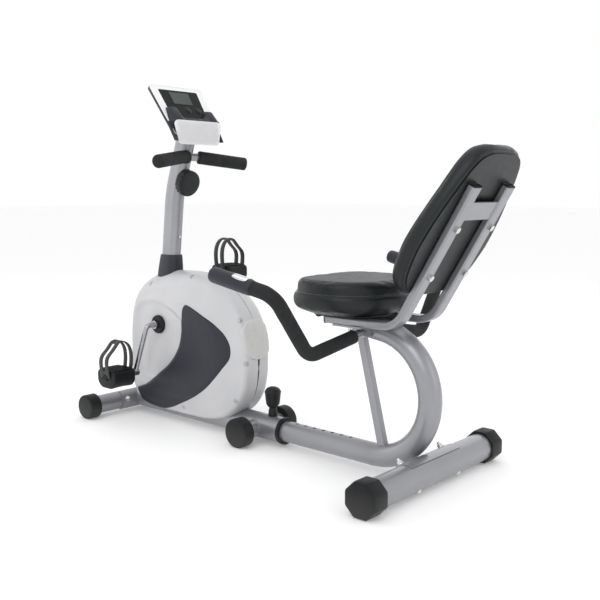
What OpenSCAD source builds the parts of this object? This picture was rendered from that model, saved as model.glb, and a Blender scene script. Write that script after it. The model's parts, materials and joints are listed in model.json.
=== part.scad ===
// Recumbent exercise bike: front frame with drive, and a seat carriage that slides in its sleeve.
// +X points forward, +Y to the rider's left, +Z up. Lengths inside at_frame() count from the
// front stabiliser's axis, so places further back are negative. All sizes are millimetres.

/* [Stance] */
// From the origin to the front stabiliser's axis
front_x = 670; // [660:1:700]
// From the front stabiliser to the middle one
mid_back = 600; // [590:1:610]
// From the front stabiliser to the rear one
rear_back = 1203; // [1200:1:1206]
// Half the width over the front caps
front_half = 224; // [215:1:240]
// Half the width over the middle caps
mid_half = 114; // [110:1:120]
// Half the width over the rear caps
rear_half = 302; // [290:1:320]

/* [Frame] */
// Outer radius of the main tube and sleeve
main_r = 38; // [38:0.5:40]
// Outer radius of the sliding rail and rear frame
rail_r = 31; // [30:0.5:31]
// Height of the rail's axis
rail_z = 46; // [46:0.5:48]
// Bend radius of the C-shaped rear frame
c_bend = 172; // [168:1:174]
// Spacing of the adjusting holes
hole_pitch = 33; // [32:1:34]
// Wall of the round frame tubes
wall = 3; // [2.5:0.5:3.5]

/* [Drive] */
// From the front stabiliser to the crank axle
crank_back = 200; // [198:1:202]
// Height of the crank axle
crank_z = 321; // [319:1:323]
// Crank length, axle to pedal
crank_l = 172; // [165:1:175]
// Angle of the left crank from straight down, towards the front
crank_angle = 22.5; // [15:0.5:30]
// Distance of each pedal's middle from the centre plane
pedal_y = 190; // [185:1:195]
// Radius of the large pulley
pulley_r = 118; // [110:1:120]
// Radius of the flywheel
flywheel_r = 122; // [115:1:124]

/* [Seat] */
// Half the distance between the seat tubes
seat_rail_y = 79; // [77:1:80]
// Width of the seat tubes
seat_rail_w = 38; // [34:1:40]
// Thickness of the seat tubes
seat_rail_t = 20; // [18:1:22]
// Lean of the backrest from the vertical
back_lean = 30.7; // [28:0.1:32]
// Half width of the seat cushion
seat_half = 168; // [160:1:175]
// Thickness of the seat cushion
seat_t = 97; // [90:1:100]
// Length of the seat cushion
seat_l = 292; // [285:1:300]
// Thickness of the back cushion
back_t = 58; // [50:1:62]

/* [Console] */
// Lean of the console's face from the vertical
console_lean = 34.5; // [33:0.1:36]
// Half width of the console at its top
console_half = 105; // [100:1:110]
// Height of the console along its face
console_l = 188; // [184:1:190]

/* [Hidden] */
eps = 0.01;
run_gap = 0.06;      // radial clearance of a running fit
body_gap = 0.4;      // clearance between pieces of different bodies

front_z = 39;        // axis heights of the stabilisers
mid_z = 43;
rear_z = 44;
front_r = 30;
mid_r = 26;
rear_r = 38;
front_cap_r = 40;
mid_cap_r = 44;
rear_cap_r = rear_z / cos(22.5);
bolt_r = 4;

pin_back = 647;      // lock pin
mouth_back = 692;    // open end of the sleeve
rail_front = 545;    // front end of the rail
pin_lift = 12;

mast_foot = [-138, 0, 84];
mast_low = [-181, 0, 455];
mast_knee = [-214.5, 0, 743];
mast_top = [-277, 0, 924];
mast_bend = 400;
mast_size = [70, 42];
mast_wall = 3;
mast_lean = atan2(mast_low[0] - mast_knee[0], mast_knee[2] - mast_low[2]);
mast_up = unit(mast_knee - mast_low);

pulley_y = -32;      // middle plane of the belt
belt_w = 10;
belt_t = 3;
fly_x = -420;
fly_z = 214;
fly_w = 24;
fly_pulley_r = 25;
arm_y = 116;             // middle of the crank arms
idler_r = 16;
idler_tilt = 20;

shroud_c = [-305, 264];  // middle of the shroud in X and Z
shroud_a = 278;          // half length
shroud_b = 233;          // half height
shroud_rim = 50;         // half width at the rim
shroud_full = 70;        // half width at the middle
shroud_flat = 150;       // radius of the flat middle
shroud_wall = 3;
disc_r = 29;             // cover over the axle end

u_back = [-sin(back_lean), 0, cos(back_lean)];   // up along the backrest
n_back = [cos(back_lean), 0, sin(back_lean)];    // forwards out of the backrest
seat_z = 417;            // axis height of the level seat tubes
knee_x = -1150;          // where the seat tubes' straight runs would meet
seat_front_x = -928;
rail_end = 403;          // length of the uprights from the knee
back_low = 80;           // back cushion's lower and upper ends, from the knee
back_high = 485;
seat_mid_x = -961;

side_bar_r = 12.5;
side_grip_r = 18;
side_root = [-1018, 0, 392];
side_low = [-1002, 247, 348];
side_high = [-995, 362, 509];
side_end = [-803, 375, 547.6];

face_top = [-227, 0, 1076.5];                       // middle of the console's top edge
con_down = [-sin(console_lean), 0, -cos(console_lean)];
con_out = [-cos(console_lean), 0, sin(console_lean)];

// ---------- vectors and placing ----------
function unit(v) = v / norm(v);
// Direction at rest from the crank axle to the left pedal
function crank_dir() = [sin(crank_angle), 0, -cos(crank_angle)];
// Point on the backrest's tubes, s along them from the knee and t forwards
function on_back(s, t) = [knee_x, 0, seat_z] + s * u_back + t * n_back;
// Point on the console's face, s down from its top edge and t out of the face
function on_console(s, t) = face_top + s * con_down + t * con_out;

module at_frame() translate([front_x, 0, 0]) children();
module both_sides() for (side = [1, -1]) mirror([0, side < 0 ? 1 : 0, 0]) children();

// Frame whose x, y and z axes are the given vectors
module aligned(p, x, y, z)
  multmatrix([[x[0], y[0], z[0], p[0]], [x[1], y[1], z[1], p[1]], [x[2], y[2], z[2], p[2]]])
    children();

// A vector square to d, lying across the frame where it can
function across(d) = abs(d[1]) > 0.9 ? unit(cross(d, [1, 0, 0])) : unit([0, 1, 0] - d[1] * d);

// Straight run of a 2D section from p to q; the section's y lies along side
module run(p, q, side) {
  d = unit(q - p);
  aligned(p, cross(side, d), side, d) linear_extrude(norm(q - p)) children();
}

// Rod of radius r from p to q
module rod(p, q, r) run(p, q, across(unit(q - p))) circle(r);

// Section swept along straight lines that turn with the bend radius at each inner point;
// a slightly larger collar joins each straight to its bend. Sections are solid shapes.
module bent(points, radius) {
  n = len(points);
  function dir(i) = unit(points[i + 1] - points[i]);
  function turn(i) = acos(dir(i - 1) * dir(i));
  function trim(i) = i == 0 || i == n - 1 ? 0 : radius * tan(turn(i) / 2);
  for (i = [0 : n - 2]) {
    d = dir(i);
    p = points[i] + trim(i) * d;
    q = points[i + 1] - trim(i + 1) * d;
    run(p, q, across(d)) children();
    if (i > 0) run(p - d, p + d, across(d)) scale(1.007) children();
    if (i < n - 2) run(q - d, q + d, across(d)) scale(1.007) children();
  }
  for (i = [1 : n - 2]) {
    d = dir(i - 1);
    inward = unit(dir(i) - (dir(i) * d) * d);
    middle = points[i] - trim(i) * d + radius * inward;
    aligned(middle, -inward, d, cross(-inward, d))
      rotate_extrude(angle = turn(i)) translate([radius, 0]) children();
  }
}

module ring(outer, inner) difference() { circle(outer); circle(inner); }

// Flat-sided oval of length size[0] and width size[1]
module oval(size) {
  square([size[0] - size[1], size[1]], center = true);
  for (s = [-1, 1]) translate([s * (size[0] - size[1]) / 2, 0]) circle(size[1] / 2);
}

module rounded(size, r) {
  square([size[0], size[1] - 2 * r], center = true);
  square([size[0] - 2 * r, size[1]], center = true);
  for (sx = [-1, 1], sy = [-1, 1])
    translate([sx * (size[0] / 2 - r), sy * (size[1] / 2 - r)]) circle(r);
}

// Cylinder along +Y from y0 to y1
module y_cyl(x, z, y0, y1, r) translate([x, y1, z]) rotate([90, 0, 0]) cylinder(h = y1 - y0, r = r);
module y_ring(x, z, y0, y1, r, bore) difference() {
  y_cyl(x, z, y0, y1, r);
  y_cyl(x, z, y0 - 1, y1 + 1, bore);
}
// 2D shape drawn in X and Z, extruded from y0 to y1
module y_prism(y0, y1) translate([0, y1, 0]) rotate([90, 0, 0]) linear_extrude(y1 - y0) children();
module x_cyl(x0, x1, y, z, r) translate([x0, y, z]) rotate([0, 90, 0]) cylinder(h = x1 - x0, r = r);
module below_floor() translate([-3000, -1000, -200]) cube([4000, 2000, 200]);

$fn = 64;

// ---------- front frame ----------
module front_stabiliser() at_frame() color("silver") difference() {
  y_cyl(0, front_z, 6 - front_half, front_half - 6, front_r);
  y_cyl(0, front_z, 5 - front_half, front_half - 5, front_r - 2);
  for (s = [-1, 1]) x_cyl(-60, 60, 74 * s, front_z + 6, bolt_r);
}

module front_caps() at_frame() color("dimgray") both_sides() difference() {
  y_cyl(0, front_z, front_half - 42, front_half, front_cap_r);
  y_cyl(0, front_z, front_half - 43, front_half - 6, front_r);
  below_floor();
}

// Dome-headed bolts through the front plate and tube
module front_bolts() at_frame() color("gainsboro") for (s = [-1, 1]) {
  x_cyl(-36, 34, 74 * s, front_z + 6, bolt_r);
  translate([-32.5, 74 * s, front_z + 6]) rotate([0, -90, 0]) cylinder(h = 12, r1 = 10, r2 = 6);
  x_cyl(29.5, 34, 74 * s, front_z + 6, 6.5);
}

module main_tube_solid() x_cyl(-mouth_back, -33, 0, rail_z, main_r);
module mast_stub() run(mast_foot - 30 * mast_up, mast_low + 165 * mast_up, [0, 1, 0])
  oval(mast_size - [1, 1] * 2 * (mast_wall + 0.2));

module main_frame() at_frame() color("silver") difference() {
  union() {
    main_tube_solid();
    // curved plate round the back of the front stabiliser
    difference() {
      y_cyl(0, front_z, -92, 92, front_r + 3.5);
      y_cyl(0, front_z, -93, 93, front_r);
      translate([-8, -100, 0]) cube([100, 200, 200]);
    }
    mast_stub();
    y_cyl(-crank_back, crank_z, -22, 48, 21);
    // plates that hold the flywheel axle
    for (y = [16, -46]) translate([fly_x - 20, y, rail_z + 30]) cube([40, 4, fly_z - rail_z]);
    translate([fly_x - 20, -46, rail_z + 30]) cube([40, 66, 12]);
  }
  x_cyl(-mouth_back - 1, -60, 0, rail_z, main_r - wall);
  y_cyl(0, front_z, -100, 100, front_r);
  for (s = [-1, 1]) x_cyl(-60, 60, 74 * s, front_z + 6, bolt_r);
  y_cyl(-crank_back, crank_z, -30, 60, 17.5);
  y_cyl(fly_x, fly_z, -60, 60, 5);
  // hollow of the mast's stub, clear of the crank's shell
  run(mast_low - 20 * mast_up, mast_low + 170 * mast_up, [0, 1, 0])
    oval(mast_size - [1, 1] * 2 * (2 * mast_wall + 0.2));
  translate([-pin_back, 0, rail_z]) cylinder(h = 60, r = 10.3);
  x_cyl(-240, -100, 0, 603, bolt_r);
}

module sleeve_bush() at_frame() color("dimgray") difference() {
  union() {
    x_cyl(-mouth_back, -610, 0, rail_z, main_r - wall);
    x_cyl(-mouth_back - 10, -mouth_back, 0, rail_z, main_r + 2.5);
  }
  x_cyl(-710, -600, 0, rail_z, rail_r + run_gap);
  translate([-pin_back, 0, rail_z]) cylinder(h = 60, r = 10.3);
}

module mid_stabiliser() at_frame() color("silver") both_sides() difference() {
  y_cyl(-mid_back, mid_z, 20, mid_half - 5, mid_r);
  y_cyl(-mid_back, mid_z, 10, mid_half - 9, mid_r - wall);
  x_cyl(-700, -500, 0, rail_z, main_r);
}

module mid_caps() at_frame() color("dimgray") both_sides() difference() {
  y_cyl(-mid_back, mid_z, mid_half - 38, mid_half, mid_cap_r);
  y_cyl(-mid_back, mid_z, mid_half - 39, mid_half - 5, mid_r);
  below_floor();
}

module lock_housing() at_frame() color("dimgray") difference() {
  translate([-pin_back, 0, rail_z + rail_r + 2]) cylinder(h = 31, r = 10.3);
  translate([-pin_back, 0, rail_z]) cylinder(h = 80, r = 5 + run_gap);
}

// Pull knob with its pin
module lock_knob() at_frame() color("dimgray") translate([-pin_back, 0, 0]) {
  translate([0, 0, rail_z + rail_r + body_gap]) cylinder(h = 60, r = 5);
  translate([0, 0, 110.4]) rotate_extrude()
    polygon([[0, 0], [16, 0], [20, 6], [25.5, 46], [23.5, 50], [18, 57], [9, 62], [0, 63]]);
}

// ---------- mast, handlebar, dial ----------
module mast_path(more) bent([mast_low - (15 + more) * mast_up, mast_knee,
  mast_top + more * unit(mast_top - mast_knee)], mast_bend) children();

module mast() at_frame() color("silver") difference() {
  mast_path(0) oval(mast_size);
  mast_path(1) oval(mast_size - [1, 1] * 2 * mast_wall);
  x_cyl(-260, -100, 0, 603, bolt_r);
  rod(dial_at + 10 * dial_out, dial_at + 50 * dial_out, 8);
}

module mast_bolts() at_frame() color("gainsboro") {
  x_cyl(-236, -158, 0, 603, bolt_r);
  x_cyl(-163.5, -157, 0, 603, 7);
}

module mast_boot() at_frame() color("dimgray") difference() {
  for (i = [0 : 3]) run(mast_low + 4 * mast_up, mast_low + (90 - 20 * i) * mast_up, [0, 1, 0])
    oval([80 + 4 * i, 50 + 4 * i]);
  run(mast_low - 40 * mast_up, mast_low + 120 * mast_up, [0, 1, 0]) oval(mast_size + [0.4, 0.4]);
}

module upper_bar_path(more) bent([[-350, 174, 838] + more * [-5, 12, -1.5], [-292, 32, 856],
  [-292, -32, 856], [-350, -174, 838] + more * [-5, -12, -1.5]], 40) children();
module upper_bar() at_frame() color("silver") {
  difference() {
    upper_bar_path(0) circle(12.5);
    upper_bar_path(1) circle(10.5);
    run(mast_knee, mast_top, [0, 1, 0]) oval(mast_size);
  }
  for (y = [-26, 22]) translate([-300, y, 848]) cube([54, 4, 16]);
}
// Foam grips; the left one reaches across the mast's rear
module upper_grips() at_frame() color("dimgray") difference() {
  union() {
    both_sides() difference() {
      rod([-351.6, 178, 837.5], [-292, 32, 856], 20.5);
      translate([-330, -50, 800]) cube([60, 81, 100]);
    }
    rod([-292, 34, 856], [-292, 9, 856], 20.3);
  }
  upper_bar_path(2) circle(12.5);
  run(mast_knee, mast_top, [0, 1, 0]) oval(mast_size);
}

dial_at = [-230.7, 0, 790];   // on the mast's axis
dial_out = [-cos(17.5), 0, -sin(17.5)];
module on_dial() aligned(dial_at, [0, 1, 0], cross(dial_out, [0, 1, 0]), dial_out) children();
// Socket through the mast's wall, with a collar that wraps the mast behind the dial
module tension_housing() at_frame() color("dimgray") on_dial() difference() {
  union() {
    translate([0, 0, 14]) cylinder(h = 22, r = 7.9);
    translate([0, 0, 35]) cylinder(h = 1, r = 34);
    translate([-21, -43, 28]) cube([4, 76, 8]);
    translate([17, -43, 28]) cube([4, 76, 8]);
    translate([-21, -43, 35]) cube([42, 20, 1]);
  }
  translate([0, 0, 10]) cylinder(h = 60, r = 4 + run_gap);
}
module tension_dial() at_frame() color("dimgray") on_dial() {
  difference() {
    translate([0, 0, 36.4]) cylinder(h = 27.6, r = 38.5);
    for (i = [0 : 17]) rotate(i * 20) translate([41.5, 0, 30]) cylinder(h = 50, r = 4.6);
  }
  translate([0, 0, 16]) cylinder(h = 22, r = 4);
}

// ---------- console ----------
// Plate on the console's face: half widths at its upper and lower edges, corner radius
function corner(c, r, from) = [for (i = [0 : 6]) c + r * [cos(from + 15 * i), sin(from + 15 * i)]];
module tapered(top, low, length, r) polygon(concat(
  corner([top - r, length / 2 - r], r, 0), corner([r - top, length / 2 - r], r, 90),
  corner([r - low, r - length / 2], r, 180), corner([low - r, r - length / 2], r, 270)));
module on_face(s, t) {
  p = on_console(s, t);
  aligned(p, [0, 1, 0], -con_down, con_out) children();
}
module console_back() at_frame() color("dimgray") difference() {
  union() {
    on_face(console_l / 2, -14) linear_extrude(9)
      tapered(console_half, console_half - console_in, console_l, 10);
    on_face(console_l - 62, -56) linear_extrude(43) rounded([86, 100], 12);
  }
  on_face(console_l / 2, -12.5) linear_extrude(9)
    tapered(console_half - 4, console_half - console_in - 4, console_l - 8, 6);
  run(mast_knee, mast_top + 1 * unit(mast_top - mast_knee), [0, 1, 0]) oval(mast_size);
}
module console_face() at_frame() color("white") difference() {
  on_face(console_l / 2, -5) linear_extrude(5)
    tapered(console_half, console_half - console_in, console_l, 10);
  on_face(68, -6) linear_extrude(12) tapered(79, 73, 106, 5);
}
module console_window() at_frame() color("black") difference() {
  on_face(68, -4.5) linear_extrude(5.5) tapered(79, 73, 106, 5);
  for (y = button_ys) on_face(button_s, -10) translate([y, 0, 0])
    cylinder(h = 20, r = button_r + 0.35);
}
console_in = 14;
button_ys = [-8, -50];
button_s = 88;
button_r = 8;
module button_at(y) at_frame() color("gray") {
  on_face(button_s, -6) translate([y, 0, 0]) cylinder(h = 9.5, r = button_r);
  on_face(button_s, -8.5) translate([y, 0, 0]) cylinder(h = 2.5, r = button_r + 2);
}
module button_left() button_at(button_ys[0]);
module button_right() button_at(button_ys[1]);
module circuit_board() at_frame() color("green")
  on_face(80, -12.5) linear_extrude(1.5) rounded([146, 110], 4);

// Tray in front of the console's lower half, with an upright front plate
module reading_rest() at_frame() color("whitesmoke") difference() {
  intersection() {
    y_prism(-93, 93)
      polygon([[-338, 893], [-334, 966], [-290, 966], [-332, 910], [-310, 893]]);
    translate([-400, 0, 929.5]) rotate([90, 0, 90]) linear_extrude(120)
      tapered(93, 84, 73, 14);
  }
  translate([-330, -90, 917]) cube([60, 180, 90]);
  on_face(console_l / 2, -60) linear_extrude(60) square([400, console_l], center = true);
}

// ---------- shroud ----------
// Outline in X and Z: an ellipse behind, filled out towards square corners in front and below
function outline_point(a, shrink) =
  let (front = cos(a) > 0, low = sin(a) < 0,
       power = front ? (low ? 0.56 : 0.72) : (low ? 0.68 : 0.94),
       c = pow(abs(cos(a)), power), s = pow(abs(sin(a)), power))
  [shroud_c[0] + (shroud_a - shrink) * (front ? c : -c),
   shroud_c[1] + (shroud_b - shrink) * (low ? -s : s)];
module outline(shrink) polygon([for (i = [0 : 71]) outline_point(i * 5 + 2.5, shrink)]);

// Lens that narrows the shroud towards its rim
module lens(inset) translate([shroud_c[0], 0, shroud_c[1]]) rotate([90, 0, 0])
  for (s = [0, 180]) rotate([s, 0, 0]) rotate_extrude($fn = 96)
    polygon([[0, -1], [330, -1], [330, shroud_rim - 8 - inset], [280, shroud_rim - inset],
      [262, shroud_rim + 4 - inset], [225, shroud_rim + 12 - inset],
      [shroud_flat + 30, shroud_full - 3 - inset], [shroud_flat, shroud_full - inset],
      [0, shroud_full - inset]]);

module shroud_solid(inset) intersection() {
  y_prism(-90, 90) outline(inset);
  lens(inset);
}
module shroud_shell() difference() {
  shroud_solid(0);
  shroud_solid(shroud_wall);
  x_cyl(-700, 20, 0, rail_z, main_r + 0.4);
  run(mast_foot, mast_knee, [0, 1, 0]) oval([93, 63]);
  y_cyl(0, front_z, -150, 150, front_r + 4);
  y_cyl(-crank_back, crank_z, -90, 90, disc_r + 2);
  for (p = screw_points) y_cyl(p[0], p[1], 30, 90, 2.5);
}
screw_points = [[-352, 476], [-534, 362], [-563, 250], [-517, 141], [-301, 52], [-147, 452]];

module shroud_left() at_frame() color("white") intersection() {
  shroud_shell();
  translate([-700, 0, 0]) cube([800, 120, 600]);
}
module shroud_right() at_frame() color("white") difference() {
  shroud_shell();
  translate([-700, 0, -1]) cube([800, 120, 600]);
}
// Round-headed screws into the left rim
module shroud_screws() at_frame() color("gray") for (p = screw_points) {
  y_cyl(p[0], p[1], 34, 57.5, 2.5);
  y_cyl(p[0], p[1], 53.5, 57.5, 4.5);
}

// Crescent that sweeps from above the crank round to the front foot
module crescent() difference() {
  polygon(crescent_outer);
  translate([-166, 318]) circle(r = 178);
}
crescent_outer = [
  [-349, 398], [-372, 396], [-400, 384], [-435, 364], [-468, 347], [-500, 328], [-525, 309],
  [-536, 292], [-540, 276], [-537, 256], [-526, 236], [-509, 214], [-487, 190], [-464, 167],
  [-430, 138], [-394, 113], [-345, 86], [-297, 65], [-250, 48], [-200, 34], [-150, 36],
  [-88, 42], [-60, 92], [-60, 150], [-200, 320], [-320, 392]];
module cover() difference() {
  intersection() {
    y_prism(20, 110) intersection() {
      crescent();
      outline(2);
    }
    lens(-3);
  }
  lens(0);
  x_cyl(-700, 20, 0, rail_z, main_r + 0.4);
  y_cyl(0, front_z, -150, 150, front_r + 4);
  for (p = screw_points) y_cyl(p[0], p[1], 30, 90, 5);
}
module cover_left() at_frame() color("dimgray") cover();
module cover_right() at_frame() color("dimgray") mirror([0, 1, 0]) cover();

// Oval pad over the seam on the rear rim
module shroud_rear_cap() at_frame() color("whitesmoke") intersection() {
  y_prism(-48, 48) difference() {
    outline(-6);
    outline(0);
  }
  translate([-620, 0, 306]) rotate([0, 90, 0]) linear_extrude(100) oval([122, 96]);
}

// ---------- drive ----------
module crank_axle() at_frame() color("gray") y_cyl(-crank_back, crank_z, -78, 78, 8.5);
module crank_bearings() at_frame() color("silver") for (y = [-22, 36])
  y_ring(-crank_back, crank_z, y, y + 12, 17.5, 8.5 + run_gap);

module drive_pulley() at_frame() color("dimgray") difference() {
  union() {
    y_cyl(-crank_back, crank_z, pulley_y - belt_w / 2 - 1, pulley_y + belt_w / 2 + 1, pulley_r);
    y_cyl(-crank_back, crank_z, pulley_y - 12, pulley_y + 7, 24);
  }
  y_cyl(-crank_back, crank_z, -90, 90, 8.5);
  for (i = [0 : 5]) translate([-crank_back, 0, crank_z]) rotate([0, i * 60, 0])
    translate([70, 0, 0]) rotate([90, 0, 0])
      cylinder(h = 200, r = 26, center = true);
}

// Bent bar: out of the cover along the axle, then down to the pedal's eye
module crank_arm(dir) difference() {
  union() {
    y_cyl(-crank_back, crank_z, 66, 86, 13.5);
    bent([[-crank_back, 82, crank_z], [-crank_back, arm_y, crank_z],
      [-crank_back, arm_y, crank_z] + crank_l * dir], 12) circle(8.5);
    y_cyl(-crank_back + crank_l * dir[0], crank_z + crank_l * dir[2], arm_y - 9, arm_y + 9, 13);
  }
  y_cyl(-crank_back, crank_z, 0, 78, 8.5);
  y_cyl(-crank_back + crank_l * dir[0], crank_z + crank_l * dir[2], 90, 150, 6.5);
}
module crank_arm_left() at_frame() color("lightslategray") crank_arm(crank_dir());
module crank_arm_right() at_frame() color("lightslategray")
  mirror([0, 1, 0]) crank_arm(-crank_dir());

module crank_covers() at_frame() color("dimgray") both_sides() difference() {
  y_cyl(-crank_back, crank_z, 71.5, 84, disc_r);
  y_cyl(-crank_back, crank_z, 60, 74, disc_r - 3);
  y_cyl(-crank_back, crank_z, 60, 100, 13.5);
}

// Pedal with its middle at the spindle; the counterweighted body hangs a little low
module pedal_at(s) translate([-crank_back, 0, crank_z] + s * crank_l * crank_dir())
  mirror([0, s < 0 ? 1 : 0, 0]) children();
module pedal_body() {
  difference() {
    y_prism(pedal_y - 40.05, pedal_y + 40.05)
      polygon([[-44, 16], [-47, 6], [-45, -16], [-38, -26], [38, -26], [45, -16], [47, 6], [44, 16]]);
    y_cyl(0, 0, 100, pedal_y + 30, 6.5 + run_gap);
    for (x = [-26, 26]) translate([x - 13, pedal_y - 30, 8]) cube([26, 58, 20]);
  }
  y_cyl(0, 0, pedal_y + 36, pedal_y + 46, 11);
}
module spindle() y_cyl(0, 0, arm_y - 9, pedal_y + 28, 6.5);
module pedal_spindles() at_frame() color("silver") for (s = [1, -1]) pedal_at(s) spindle();
// Flat band of thickness t through points, mitred at each joint
function band_dir(p, i) = unit(p[min(i + 1, len(p) - 1)] - p[i]
  + (i < len(p) - 1 ? [0, 0] : p[i] - p[i - 1]));
function band_edge(p, i, t) =
  let (a = band_dir(p, max(i - 1, 0)), b = band_dir(p, i), m = unit(a + b))
  p[i] + t / (m * a) * [-m[1], m[0]];
module band(p, t) polygon(concat([for (i = [0 : len(p) - 1]) band_edge(p, i, t / 2)],
  [for (i = [len(p) - 1 : -1 : 0]) band_edge(p, i, -t / 2)]));
// Toe strap: up the inner side, over and down to the outer side, slotted along its middle
strap_line = [[-41.6, -4], [-42, 70], [-38, 90], [-28, 105], [-13, 112], [2, 108], [14, 96],
  [26, 80], [37, 69], [41.4, 56], [41.6, -4]];
module strap_arch() difference() {
  translate([-21, pedal_y, 0]) rotate([90, 0, 90]) linear_extrude(42) band(strap_line, 3.2);
  translate([-5, pedal_y - 60, 40]) cube([10, 80, 90]);
  y_cyl(0, 0, pedal_y + 20, pedal_y + 60, 11.3);
  y_cyl(0, 0, pedal_y - 60, pedal_y, 8);
}
module pedal_left() at_frame() color("dimgray") pedal_at(1) pedal_body();
module pedal_right() at_frame() color("dimgray") pedal_at(-1) pedal_body();
module strap_left() at_frame() color("black") pedal_at(1) strap_arch();
module strap_right() at_frame() color("black") pedal_at(-1) strap_arch();

// Belt round the two pulleys: arcs joined by the outer tangents
belt_d = norm([fly_x + crank_back, fly_z - crank_z]);
belt_a = atan2(fly_z - crank_z, fly_x + crank_back);
belt_b = acos((pulley_r - fly_pulley_r) / belt_d);
function belt_loop(grow) = concat(
  [for (i = [0 : 47]) let (a = belt_a + belt_b + i * (360 - 2 * belt_b) / 47)
    [-crank_back, crank_z] + (pulley_r + grow) * [cos(a), sin(a)]],
  [for (i = [0 : 15]) let (a = belt_a - belt_b + i * 2 * belt_b / 15)
    [fly_x, fly_z] + (fly_pulley_r + grow) * [cos(a), sin(a)]]);
module drive_belt() at_frame() color("black")
  y_prism(pulley_y - belt_w / 2, pulley_y + belt_w / 2) difference() {
    polygon(belt_loop(0.6 + belt_t));
    polygon(belt_loop(0.6));
  }

module flywheel() at_frame() color("gray") difference() {
  union() {
    y_cyl(fly_x, fly_z, -14, -14 + fly_w, flywheel_r);
    y_cyl(fly_x, fly_z, pulley_y - belt_w / 2 - 1, -13, fly_pulley_r);
  }
  y_ring(fly_x, fly_z, 2, 20, flywheel_r - 14, 30);
  y_ring(fly_x, fly_z, -30, -8, flywheel_r - 14, 40);
  y_cyl(fly_x, fly_z, -60, 60, 8 + run_gap);
}
module flywheel_axle() at_frame() color("silver") {
  y_cyl(fly_x, fly_z, -54, 28, 5);
  y_cyl(fly_x, fly_z, -41.6, 15.6, 8);
  for (y = [-52, 20]) y_cyl(fly_x, fly_z, y, y + 6, 8.5);
}

// Idler that presses on the belt's lower run
idler_p = [-crank_back, crank_z] + (pulley_r + 0.6 + belt_t) * [cos(belt_a + belt_b), sin(belt_a + belt_b)]
  + 0.42 * belt_d * [-sin(belt_a + belt_b), cos(belt_a + belt_b)] * -1
  + (idler_r + body_gap) * [cos(belt_a + belt_b), sin(belt_a + belt_b)];
module idler_wheel() at_frame() color("dimgray")
  y_ring(idler_p[0], idler_p[1], pulley_y - 6, pulley_y + 6, idler_r, 4 + run_gap);
module idler_arm() at_frame() color("silver") {
  y_cyl(idler_p[0], idler_p[1], pulley_y - 8, -16, 4);
  y_cyl(idler_p[0], idler_p[1], pulley_y - 10, pulley_y - 6.5, 7);
  difference() {
    translate([idler_p[0] - 9, -25.5, rail_z + 20]) cube([18, 4, idler_p[1] - rail_z - 11]);
    x_cyl(-700, 0, 0, rail_z, main_r);
  }
}

// Curved bracket with magnets over the flywheel's rim, pivoting at its rear end
bracket_pivot = [fly_x + (flywheel_r + 14) * cos(128), fly_z + (flywheel_r + 14) * sin(128)];
module magnet_bracket() at_frame() color("silver") difference() {
  union() {
    y_prism(-18, 14) difference() {
      translate([fly_x, fly_z]) circle(flywheel_r + 12, $fn = 96);
      translate([fly_x, fly_z]) circle(flywheel_r + 4, $fn = 96);
      translate([fly_x, fly_z]) polygon([[0, 0], [300 * cos(128), 300 * sin(128)], [-400, -100],
        [0, -300], [400, 0], [300 * cos(62), 300 * sin(62)]]);
    }
    y_cyl(bracket_pivot[0], bracket_pivot[1], -18, 14, 9);
  }
  y_cyl(bracket_pivot[0], bracket_pivot[1], -30, 30, 4 + run_gap);
}

// ---------- seat carriage ----------
c_top = [-985, 0, 398];
c_back = -1198;
c_turn = [c_back, 0, 365.7];
module c_path(from, more) bent([[from, 0, rail_z], [c_back, 0, rail_z], c_turn,
  c_top + more * unit(c_top - c_turn)], c_bend) children();
module rear_frame() at_frame() color("silver") difference() {
  c_path(-rail_front, 0) circle(rail_r);
  c_path(1 - rail_front, 1) circle(rail_r - wall);
  for (i = [0 : 9]) translate([-pin_back - i * hole_pitch, 0, rail_z]) cylinder(h = 60, r = 5.5);
  y_cyl(-rear_back, rear_z, -120, 120, rear_r);
}

strut_top = [-975, 0, 384];
strut_low = [-1056, 0, 62];
module strut() at_frame() color("silver") difference() {
  run(strut_low, strut_top, [0, 1, 0]) difference() {
    rounded([24, 20], 3);
    rounded([20, 16], 1.5);
  }
  c_path(-900, 20) circle(rail_r);
}

module rear_stabiliser() at_frame() color("silver") difference() {
  union() {
    y_cyl(-rear_back, rear_z, 6 - rear_half, rear_half - 6, rear_r);
    // saddle plate under the C-shaped tube
    difference() {
      y_cyl(-rear_back, rear_z, -112, 112, rear_r + 3);
      y_cyl(-rear_back, rear_z, -113, 113, rear_r - 1);
      translate([-rear_back, 0, rear_z]) rotate([0, -48, 0]) translate([-80, -120, -60])
        cube([94, 240, 120]);
      c_path(-900, 20) circle(rail_r);
    }
  }
  y_cyl(-rear_back, rear_z, 5 - rear_half, rear_half - 5, rear_r - wall);
  rear_bolt_holes();
}
module rear_caps() at_frame() color("dimgray") both_sides() difference() {
  translate([-rear_back, rear_half, rear_z]) rotate([90, 0, 0]) rotate(22.5)
    cylinder(h = 56, r = rear_cap_r, $fn = 8);
  y_cyl(-rear_back, rear_z, rear_half - 57, rear_half - 6, rear_r);
}
// The bolts slant forwards and up through the tube's axis
module rear_bolt_holes() for (s = [-1, 1]) translate([-rear_back, 92 * s, rear_z])
  rotate([0, 42, 0]) cylinder(h = 120, r = bolt_r, center = true);
module rear_bolts() at_frame() color("gainsboro") for (s = [-1, 1])
  translate([-rear_back, 92 * s, rear_z]) rotate([0, 42, 0]) {
    translate([0, 0, -41]) cylinder(h = 98, r = bolt_r);
    translate([0, 0, -42.5]) cylinder(h = 6, r1 = 5.5, r2 = 9);
    translate([0, 0, 40.5]) cylinder(h = 2, r = 10);
    translate([0, 0, 42]) cylinder(h = 8, r = 8, $fn = 6);
  }

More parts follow.
